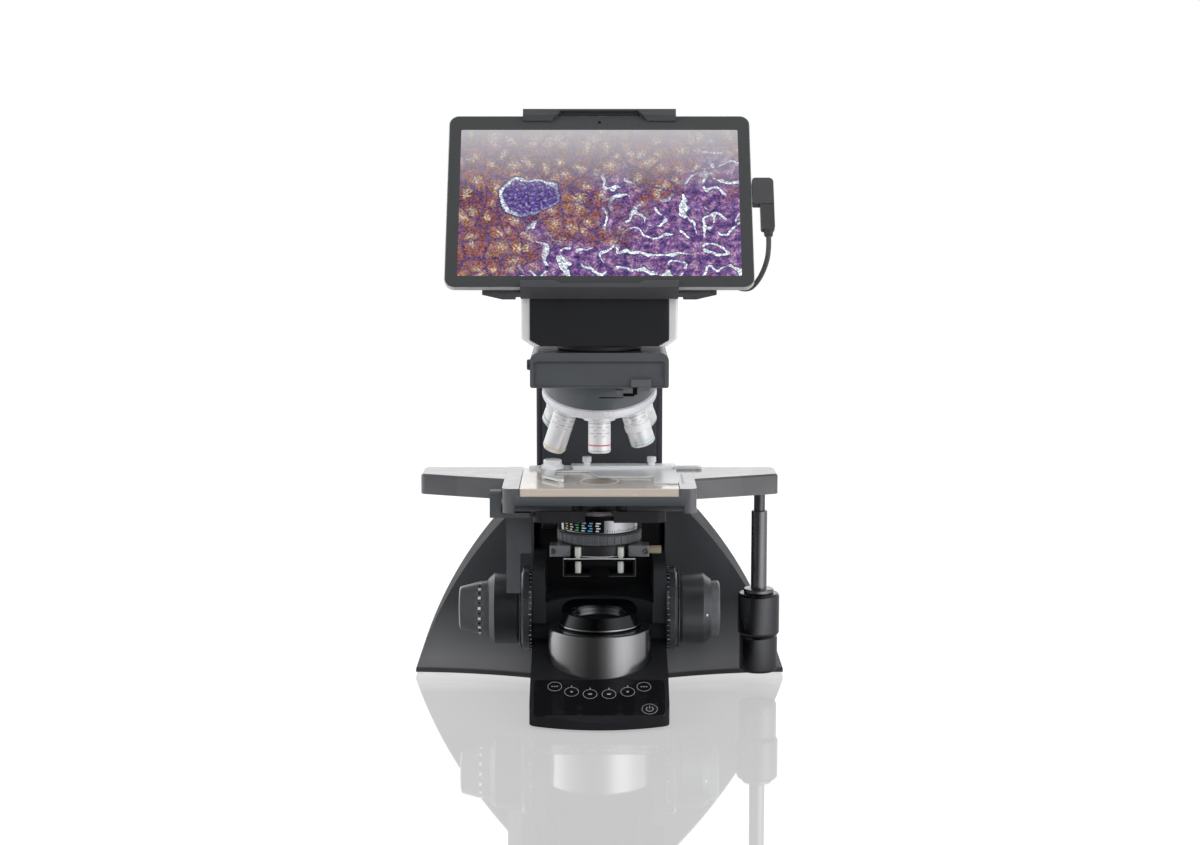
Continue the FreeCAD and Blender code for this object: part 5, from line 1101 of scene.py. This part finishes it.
touchLook = {
    "slope": math.radians(25.56),
    "foot": (0.0, -0.145, 0.011),
    "keys": ((-0.0375, 0.0407), (-0.0233, 0.0338), (-0.0078, 0.0308), (0.0080, 0.0308), (0.0237, 0.0338), (0.0374, 0.0404)),
    "keyRadius": 0.0060,
    "standby": (0.0417, 0.0118),
    "stroke": 0.00042,
}


def touchPlace(across, along, height):
    foot, slope = touchLook["foot"], touchLook["slope"]
    return Vector((
        foot[0] + across,
        foot[1] + along * math.cos(slope) - height * math.sin(slope),
        foot[2] + along * math.sin(slope) + height * math.cos(slope),
    ))


def touchBar(left, right, low, high):
    return prismForm([(left, low), (right, low), (right, high), (left, high)], -0.0001, 0.00008, touchPlace)


def makeTouchMarks(look):
    upward = touchPlace(0.0, 0.0, 1.0) - touchPlace(0.0, 0.0, 0.0)
    alongSlope = touchPlace(0.0, 1.0, 0.0) - touchPlace(0.0, 0.0, 0.0)
    stroke = look["stroke"]
    forms = []
    for order, (across, along) in enumerate(look["keys"]):
        spot = touchPlace(across, along, 0.0)
        radius = look["keyRadius"]
        outline = [(radius - stroke, -0.0001), (radius, -0.0001), (radius, 0.00008), (radius - stroke, 0.00008)]
        forms.append(turnedForm(outline, spot, upward, segments=48))
        if order in (0, 5):
            for slot in (-1, 0, 1):
                middle = across + slot * 0.0021
                forms.append(touchBar(middle - 0.0007, middle + 0.0007, along - 0.0005, along + 0.0005))
        else:
            tall = 0.0010 if order in (1, 4) else 0.0016
            forms.append(touchBar(across - tall, across + tall, along - 0.0008, along + 0.0008))
            forms.append(touchBar(across - 0.0004, across + 0.0004, along + radius, along + radius + 0.0021))
    spot = touchPlace(*look["standby"], 0.0)
    outline = [(0.0066 - stroke, -0.0001), (0.0066, -0.0001), (0.0066, 0.00008), (0.0066 - stroke, 0.00008)]
    forms.append(turnedForm(outline, spot, upward, segments=48))
    outline = [(0.0026, -0.0001), (0.0032, -0.0001), (0.0032, 0.00008), (0.0026, 0.00008)]
    forms.append(arcForm(outline, spot, upward, -alongSlope, 290.0, 30))
    across, along = look["standby"]
    forms.append(touchBar(across - 0.0003, across + 0.0003, along + 0.0006, along + 0.0040))
    formPiece("touchMarks", forms, markGrey, "stand")


makeTouchMarks(touchLook)
print("stage 7: touch panel marked")


# Focus drive

focusLook = {
    "markStep": 7.5,
    "notchRadius": 0.02335,
    "notchPlace": 0.10465,
}


def makeFocusMarks(look):
    for side, body, drive, fine in ((-1.0, "torque_ring", "coarse_drive", "fine_drive"), (1.0, "stand", "coarse_drive", "fine_drive")):
        label = "left" if side < 0.0 else "right"
        outward = (side, 0.0, 0.0)
        centre = (0.0, focusAxis[1], focusAxis[2])
        front = Vector((0.0, -1.0, 0.0))
        # painted highlights: grey ticks round the disc's inner edge stand in for its beaded glints
        scale = []
        for order in range(24):
            heading = turnedAbout(front, outward, (order - 11.5) * look["markStep"])
            width, reach = (1.5, 0.0022) if order % 4 == 0 else (1.0, 0.0013)
            scale.append(arcForm(skin(0.0378, 0.0590, 0.0590 + reach, 0.00006), centre, outward, heading, width, 3))
        formPiece(label + "DiscScale", scale, markGrey, body)
        # painted highlight: a light satin rim on the disc's outer chamfer
        outerRim = [(0.0346, 0.06905), (0.0351, 0.06905), (0.0351, 0.0693), (0.0330, 0.0697), (0.0326, 0.0696), (0.0328, 0.0691)]
        ringPiece(label + "DiscRim", outerRim, centre, outward, rimSatin, body, segments=120)
    centre = (0.0, focusAxis[1], focusAxis[2])
    left = (-1.0, 0.0, 0.0)
    front = Vector((0.0, -1.0, 0.0))
    pips = []
    for order in range(16):
        heading = turnedAbout(front, left, (order + 0.5) * 22.5)
        pips.append(arcForm(skin(look["notchRadius"], look["notchPlace"] - 0.0012, look["notchPlace"] + 0.0012, 0.0002),
                            centre, left, heading, 5.6, 4))
    formPiece("finePips", pips, markWhite, "fine_drive")
    # painted highlight: a light satin chamfer ring on the left coarse knob only
    chamfer = [(0.0309, 0.0912), (0.0312, 0.0914), (0.0274, 0.0960), (0.0269, 0.0959)]
    ringPiece("coarseChamfer", chamfer, centre, left, chamferSatin, "coarse_drive", segments=120)
    # painted highlight: a light satin end rim on the left fine knob only
    rim = [(0.0188, 0.1194), (0.01945, 0.1196), (0.0186, 0.1222), (0.0172, 0.12285), (0.0166, 0.1227), (0.0180, 0.1210)]
    ringPiece("fineRim", rim, centre, left, rimSatin, "fine_drive", segments=96)
    dot = Vector((0.62, -0.78, 0.0)).normalized()
    spot = Vector((0.0936, -0.0389, 0.0743)) - dot * 0.0004
    ringPiece("coarseDot", [(0.0, 0.0), (0.0011, 0.0), (0.0011, 0.0006), (0.0008, 0.0008), (0.0, 0.0009)], spot, dot,
              markWhite, "coarse_drive", segments=24)


makeFocusMarks(focusLook)
print("stage 8: focus drive marked")


# Field diaphragm and condenser

lightLook = {
    "lip": ((0.0331, 0.0699), (0.0345, 0.0701), (0.0348, 0.0709), (0.0346, 0.0718), (0.0338, 0.0722), (0.0331, 0.0719)),
}
ringPiece("diaphragmLip", lightLook["lip"], (0.0, opticY, 0.0), (0.0, 0.0, 1.0), trimChrome, "field_ring", segments=120)

condenserLook = {
    "windowTurn": -30.0,  # degrees from the front, towards the left
    "windowSweep": 74.0,
    "windowRows": (0.1556, 0.1693),
    "shade": (-17.0, 100.0, 0.1658),
    "radius": 0.0330,
    "columns": ((ringYellow, 0), (markWhite, 1), (ringGreen, 2), (ringCyan, 3), (ringBlue, 4), (markWhite, 5)),
    "sleeve": 0.0027,
    "posts": (-0.018, 0.018),
}


def makeCondenserMarks(look):
    centre, upward = (0.0, opticY, 0.0), (0.0, 0.0, 1.0)
    front = Vector((0.0, -1.0, 0.0))
    low, high = look["windowRows"]
    heading = turnedAbout(front, upward, look["windowTurn"])
    window = arcForm(skin(look["radius"], low, high, 0.0001), centre, upward, heading, look["windowSweep"], 40)
    # painted shade: next to the black window, a black sheet over the upper left of the body, where it lies in shade
    turn, sweep, start = look["shade"]
    shade = arcForm(skin(look["radius"], start, high, 0.0002), centre, upward, turnedAbout(front, upward, turn), sweep, 40)
    formPiece("condenserWindow", [window, shade], cageBlack, "condenser")
    for material in (ringYellow, markWhite, ringGreen, ringCyan, ringBlue):
        bars = []
        for finish, order in look["columns"]:
            if finish is not material:
                continue
            turn = look["windowTurn"] + (order - 2.5) * 10.8
            for row in range(4):
                start = low + 0.0010 + row * 0.0022
                wide = (7.0, 4.6, 6.2, 5.2)[(row + order) % 4]
                heading = turnedAbout(front, upward, turn + (row % 2) * 1.4)
                bars.append(arcForm(skin(look["radius"], start, start + 0.0010, 0.00018), centre, upward, heading, wide, 4))
        if bars:
            formPiece("condenserBars" + material.name[-4:].title(), bars, material, "condenser")
    ticks = []
    for order in range(21):
        heading = turnedAbout(front, upward, 12.0 + order * 3.6)
        reach = 0.0026 if order % 5 == 0 else 0.0016
        ticks.append(arcForm(skin(look["radius"], 0.1556, 0.1556 + reach, 0.0001), centre, upward, heading, 0.9, 2))
    formPiece("condenserTicks", ticks, markInk, "condenser")
    for order, across in enumerate(look["posts"]):
        sleeve = [(0.0021, 0.1202), (look["sleeve"], 0.1202), (look["sleeve"], 0.1434), (0.0021, 0.1434)]
        ringPiece("condenserSleeve%d" % (order + 1), sleeve, (across, -0.088, 0.0), upward, postNickel, "condenser", segments=32)
    # painted highlight: a light steel arc along the carrier ring's lower edge
    lip = arcForm(skin(0.0350, 0.1352, 0.1357, 0.0002), centre, upward, front, 56.0, 24)
    formPiece("carrierLip", [lip], steelBrushed, "condenser")
    for order, across in enumerate((-0.039, 0.039)):
        points, faces = socketScrew((across, -0.0850, 0.1395), (0.0, -1.0, 0.0), 0.0024)
        addPiece("carrierScrew%d" % (order + 1), points, faces, zincSheet, "condenser")


makeCondenserMarks(condenserLook)
print("stage 9: condenser marked")


# Tablet, plugs and back

tabletLook = {
    "lens": (0.0, 0.1585),
    "buttons": ((-0.098, -0.074), (-0.064, -0.054)),
    "rearCamera": (0.104, 0.148),
    "ribs": (0.0543, 0.0525, 0.0507),
}


def makeTabletParts(look):
    outward = tabletOutward()
    downward = tabletPlace(0.0, -1.0, 0.0) - tabletPlace(0.0, 0.0, 0.0)
    across, up = look["lens"]
    ringPiece("tabletLens", [(0.0, -0.0002), (0.0012, -0.0002), (0.0012, 0.00006), (0.0, 0.00006)],
              tabletPlace(across, up, 0.0), outward, lensGlass, "tablet", segments=32)
    ringPiece("tabletLensRim", [(0.0012, -0.0002), (0.0017, -0.0002), (0.0017, 0.00008), (0.0012, 0.00008)],
              tabletPlace(across, up, 0.0), outward, markInk, "tablet", segments=32)
    for order, (left, right) in enumerate(look["buttons"]):
        outline = roundedOutline(left, right, -0.0042, -0.0024, 0.0008, 4)
        slabPiece("tabletButton%d" % (order + 1), outline, 0.1650, 0.1657,
                  lambda x, y, z: tabletPlace(x, z, y), tabletMetal, "tablet", 0.0002)
    across, up = look["rearCamera"]
    behind = -outward
    back = tabletPlace(across, up, -0.0063)
    ringPiece("rearCameraRim", [(0.0030, -0.0002), (0.0046, -0.0002), (0.0046, 0.0006), (0.0042, 0.0009), (0.0030, 0.0009)],
              back, behind, tabletMetal, "tablet", segments=48)
    ringPiece("rearCameraGlass", [(0.0, -0.0002), (0.0030, -0.0002), (0.0030, 0.0006), (0.0, 0.0006)],
              back, behind, lensGlass, "tablet", segments=48)
    ribs = []
    for order, up in enumerate(look["ribs"]):
        size = 0.0041 - order * 0.00026
        rib = [(size - 0.0006, -0.0005), (size, -0.0003), (size, 0.0003), (size - 0.0006, 0.0005)]
        ribs.append(turnedForm(rib, tabletPlace(0.1398, up, -0.00325), downward, segments=32))
    formPiece("tabletPlugRibs", ribs, plugMoulding, "tablet")
    ribs = []
    for order, across in enumerate((0.0175, 0.0191, 0.0207)):
        size = 0.0040 - order * 0.00026
        rib = [(size - 0.0006, -0.0005), (size, -0.0003), (size, 0.0003), (size - 0.0006, 0.0005)]
        ribs.append(turnedForm(rib, (across, 0.0159, 0.3400), (1.0, 0.0, 0.0), segments=32))
    formPiece("cameraPlugRibs", ribs, plugMoulding, "camera")


makeTabletParts(tabletLook)
for order, (across, height) in enumerate(((-0.047, 0.181), (0.047, 0.181), (-0.047, 0.270), (0.047, 0.270))):
    points, faces = socketScrew((across, 0.1277, height), (0.0, 1.0, 0.0), 0.0022)
    addPiece("rearCoverScrew%d" % (order + 1), points, faces, steelBrushed, "stand")
print("stage 10: tablet, plugs and back finished")


# Studio

studioLook = {
    "floorSize": 9.0,
    "ambient": 0.16,
    "mirrorShare": 0.50,  # of the floor, just in front of the object
    "glow": 1.22,
    # what gloss mirrors, by direction: 0 the photographer, 90 the right, 180 the back, with soft boxes at both sides
    "around": (
        (-180, 1.22), (-152, 1.12), (-138, 0.90), (-112, 0.88), (-98, 0.74), (-86, 0.52), (-70, 0.32), (-48, 0.15),
        (-22, 0.05), (-4, 0.05), (12, 0.16), (24, 0.42), (36, 0.84), (50, 1.0), (64, 0.90), (82, 0.60), (100, 0.44),
        (126, 0.42), (142, 0.70), (156, 1.12), (180, 1.22),
    ),
    "above": ((0.0, 1.0), (0.40, 1.0), (0.66, 0.15), (0.88, 0.18), (0.97, 0.55), (1.0, 0.55)),
}


def greyRamp(tree, value, stops):
    return ramp(tree, value, tuple((place, (grey, grey, grey)) for place, grey in stops))


def aroundShade(tree, across, towards, look):
    # grey of the surroundings in the direction (across, towards the photographer)
    angle = calculate(tree, "ARCTAN2", across, towards)
    share = spread(tree, angle, 0.0, 1.0, -math.pi, math.pi)
    return greyRamp(tree, share, tuple(((turn + 180.0) / 360.0, grey) for turn, grey in look["around"]))


def makeAir(look):
    world = bpy.data.worlds.new("studioAir")
    bpy.context.scene.world = world
    world.use_nodes = True
    tree = world.node_tree
    tree.nodes.clear()
    out = addNode(tree, "ShaderNodeOutputWorld")
    rays = addNode(tree, "ShaderNodeLightPath")
    split = addNode(tree, "ShaderNodeSeparateXYZ")
    wire(tree, addNode(tree, "ShaderNodeTexCoord").outputs["Generated"], split.inputs["Vector"])
    towards = calculate(tree, "MULTIPLY", split.outputs["Y"], -1.0)
    around = aroundShade(tree, split.outputs["X"], towards, look)
    above = greyRamp(tree, split.outputs["Z"], look["above"])
    shade = mixColours(tree, 1.0, around, above, "MULTIPLY")
    seen = addNode(tree, "ShaderNodeBackground")
    mirrored = addNode(tree, "ShaderNodeBackground")
    wire(tree, shade, mirrored.inputs["Color"])
    soft = addNode(tree, "ShaderNodeBackground")
    for light, strength in ((seen, 1.0), (soft, look["ambient"])):
        light.inputs["Color"].default_value = (1.0, 1.0, 1.0, 1.0)
        light.inputs["Strength"].default_value = strength
    first = addNode(tree, "ShaderNodeMixShader")
    wire(tree, rays.outputs["Is Glossy Ray"], first.inputs["Fac"])
    wire(tree, soft.outputs[0], first.inputs[1])
    wire(tree, mirrored.outputs[0], first.inputs[2])
    second = addNode(tree, "ShaderNodeMixShader")
    straight = calculate(tree, "MAXIMUM", rays.outputs["Is Camera Ray"], rays.outputs["Is Transmission Ray"])
    wire(tree, straight, second.inputs["Fac"])
    wire(tree, first.outputs[0], second.inputs[1])
    wire(tree, seen.outputs[0], second.inputs[2])
    wire(tree, second.outputs[0], out.inputs["Surface"])


def makeFloor(look):
    half = look["floorSize"] / 2.0
    mesh = bpy.data.meshes.new("studioFloor")
    mesh.from_pydata([(-half, -half, 0.0), (half, -half, 0.0), (half, half, 0.0), (-half, half, 0.0)], [], [(0, 1, 2, 3)])
    mesh.materials.append(floorMaterial(look))
    floor = bpy.data.objects.new("studioFloor", mesh)
    bpy.context.scene.collection.objects.link(floor)


def floorMaterial(look):
    # white to the eye, with a faint mirror in front; gloss sees the soft boxes' light on it
    material = bpy.data.materials.new("studioFloorPaint")
    material.use_nodes = True
    tree = material.node_tree
    tree.nodes.clear()
    out = addNode(tree, "ShaderNodeOutputMaterial")
    rays = addNode(tree, "ShaderNodeLightPath")
    split = addNode(tree, "ShaderNodeSeparateXYZ")
    wire(tree, objectPlace(tree), split.inputs["Vector"])
    matt = addNode(tree, "ShaderNodeBsdfDiffuse")
    matt.inputs["Color"].default_value = (0.86, 0.86, 0.87, 1.0)
    mirror = addNode(tree, "ShaderNodeBsdfGlossy")
    mirror.inputs["Color"].default_value = (1.0, 1.0, 1.0, 1.0)
    mirror.inputs["Roughness"].default_value = 0.03
    glow = addNode(tree, "ShaderNodeEmission")
    away = addNode(tree, "ShaderNodeVectorMath", operation="LENGTH")
    wire(tree, objectPlace(tree), away.inputs[0])
    wire(tree, spread(tree, away.outputs["Value"], look["glow"], 1.40, 0.5, 1.3), glow.inputs["Strength"])
    lifted = addNode(tree, "ShaderNodeMixShader")
    lifted.inputs["Fac"].default_value = 0.74
    wire(tree, matt.outputs[0], lifted.inputs[1])
    wire(tree, glow.outputs[0], lifted.inputs[2])
    sideways = spread(tree, calculate(tree, "ABSOLUTE", split.outputs["X"]), 1.0, 0.0, 0.20, 0.34)
    forward = spread(tree, split.outputs["Y"], 1.0, 0.0, -0.02, 0.16)
    nearby = spread(tree, split.outputs["Y"], 0.0, 1.0, -0.80, -0.48)
    patch = calculate(tree, "MULTIPLY", calculate(tree, "MULTIPLY", sideways, forward), nearby)
    shiny = addNode(tree, "ShaderNodeMixShader")
    wire(tree, calculate(tree, "MULTIPLY", patch, look["mirrorShare"]), shiny.inputs["Fac"])
    wire(tree, lifted.outputs[0], shiny.inputs[1])
    wire(tree, mirror.outputs[0], shiny.inputs[2])
    towards = calculate(tree, "MULTIPLY_ADD", split.outputs["Y"], -1.0, -0.05)
    reflected = addNode(tree, "ShaderNodeEmission")
    wire(tree, aroundShade(tree, split.outputs["X"], towards, look), reflected.inputs["Color"])
    wire(tree, spread(tree, away.outputs["Value"], 0.25, 0.95, 0.12, 0.28), reflected.inputs["Strength"])
    unseen = addNode(tree, "ShaderNodeMixShader")
    wire(tree, rays.outputs["Is Glossy Ray"], unseen.inputs["Fac"])
    wire(tree, matt.outputs[0], unseen.inputs[1])
    wire(tree, reflected.outputs[0], unseen.inputs[2])
    plain = addNode(tree, "ShaderNodeMixShader")
    wire(tree, rays.outputs["Is Camera Ray"], plain.inputs["Fac"])
    wire(tree, unseen.outputs[0], plain.inputs[1])
    wire(tree, shiny.outputs[0], plain.inputs[2])
    wire(tree, plain.outputs[0], out.inputs["Surface"])
    return material


def areaLight(name, place, target, width, height, power):
    data = bpy.data.lights.new(name, "AREA")
    data.shape = "RECTANGLE"
    data.size = width
    data.size_y = height
    data.energy = power
    lamp = bpy.data.objects.new(name, data)
    lamp.location = place
    lamp.rotation_euler = (Vector(target) - Vector(place)).to_track_quat("-Z", "Y").to_euler()
    lamp.visible_glossy = False
    bpy.context.scene.collection.objects.link(lamp)


makeAir(studioLook)
makeFloor(studioLook)
areaLight("overhead", (0.0, -0.2, 1.7), (0.0, 0.0, 0.2), 1.6, 1.2, 17.0)
areaLight("leftBox", (-1.15, -0.45, 0.60), (0.0, 0.0, 0.22), 0.9, 1.3, 8.0)
areaLight("rightBox", (1.15, -0.45, 0.60), (0.0, 0.0, 0.22), 0.9, 1.3, 9.0)
areaLight("frontFill", (0.4, -2.3, 1.1), (0.0, 0.0, 0.25), 1.6, 1.0, 15.0)
print("stage 12: studio ready")
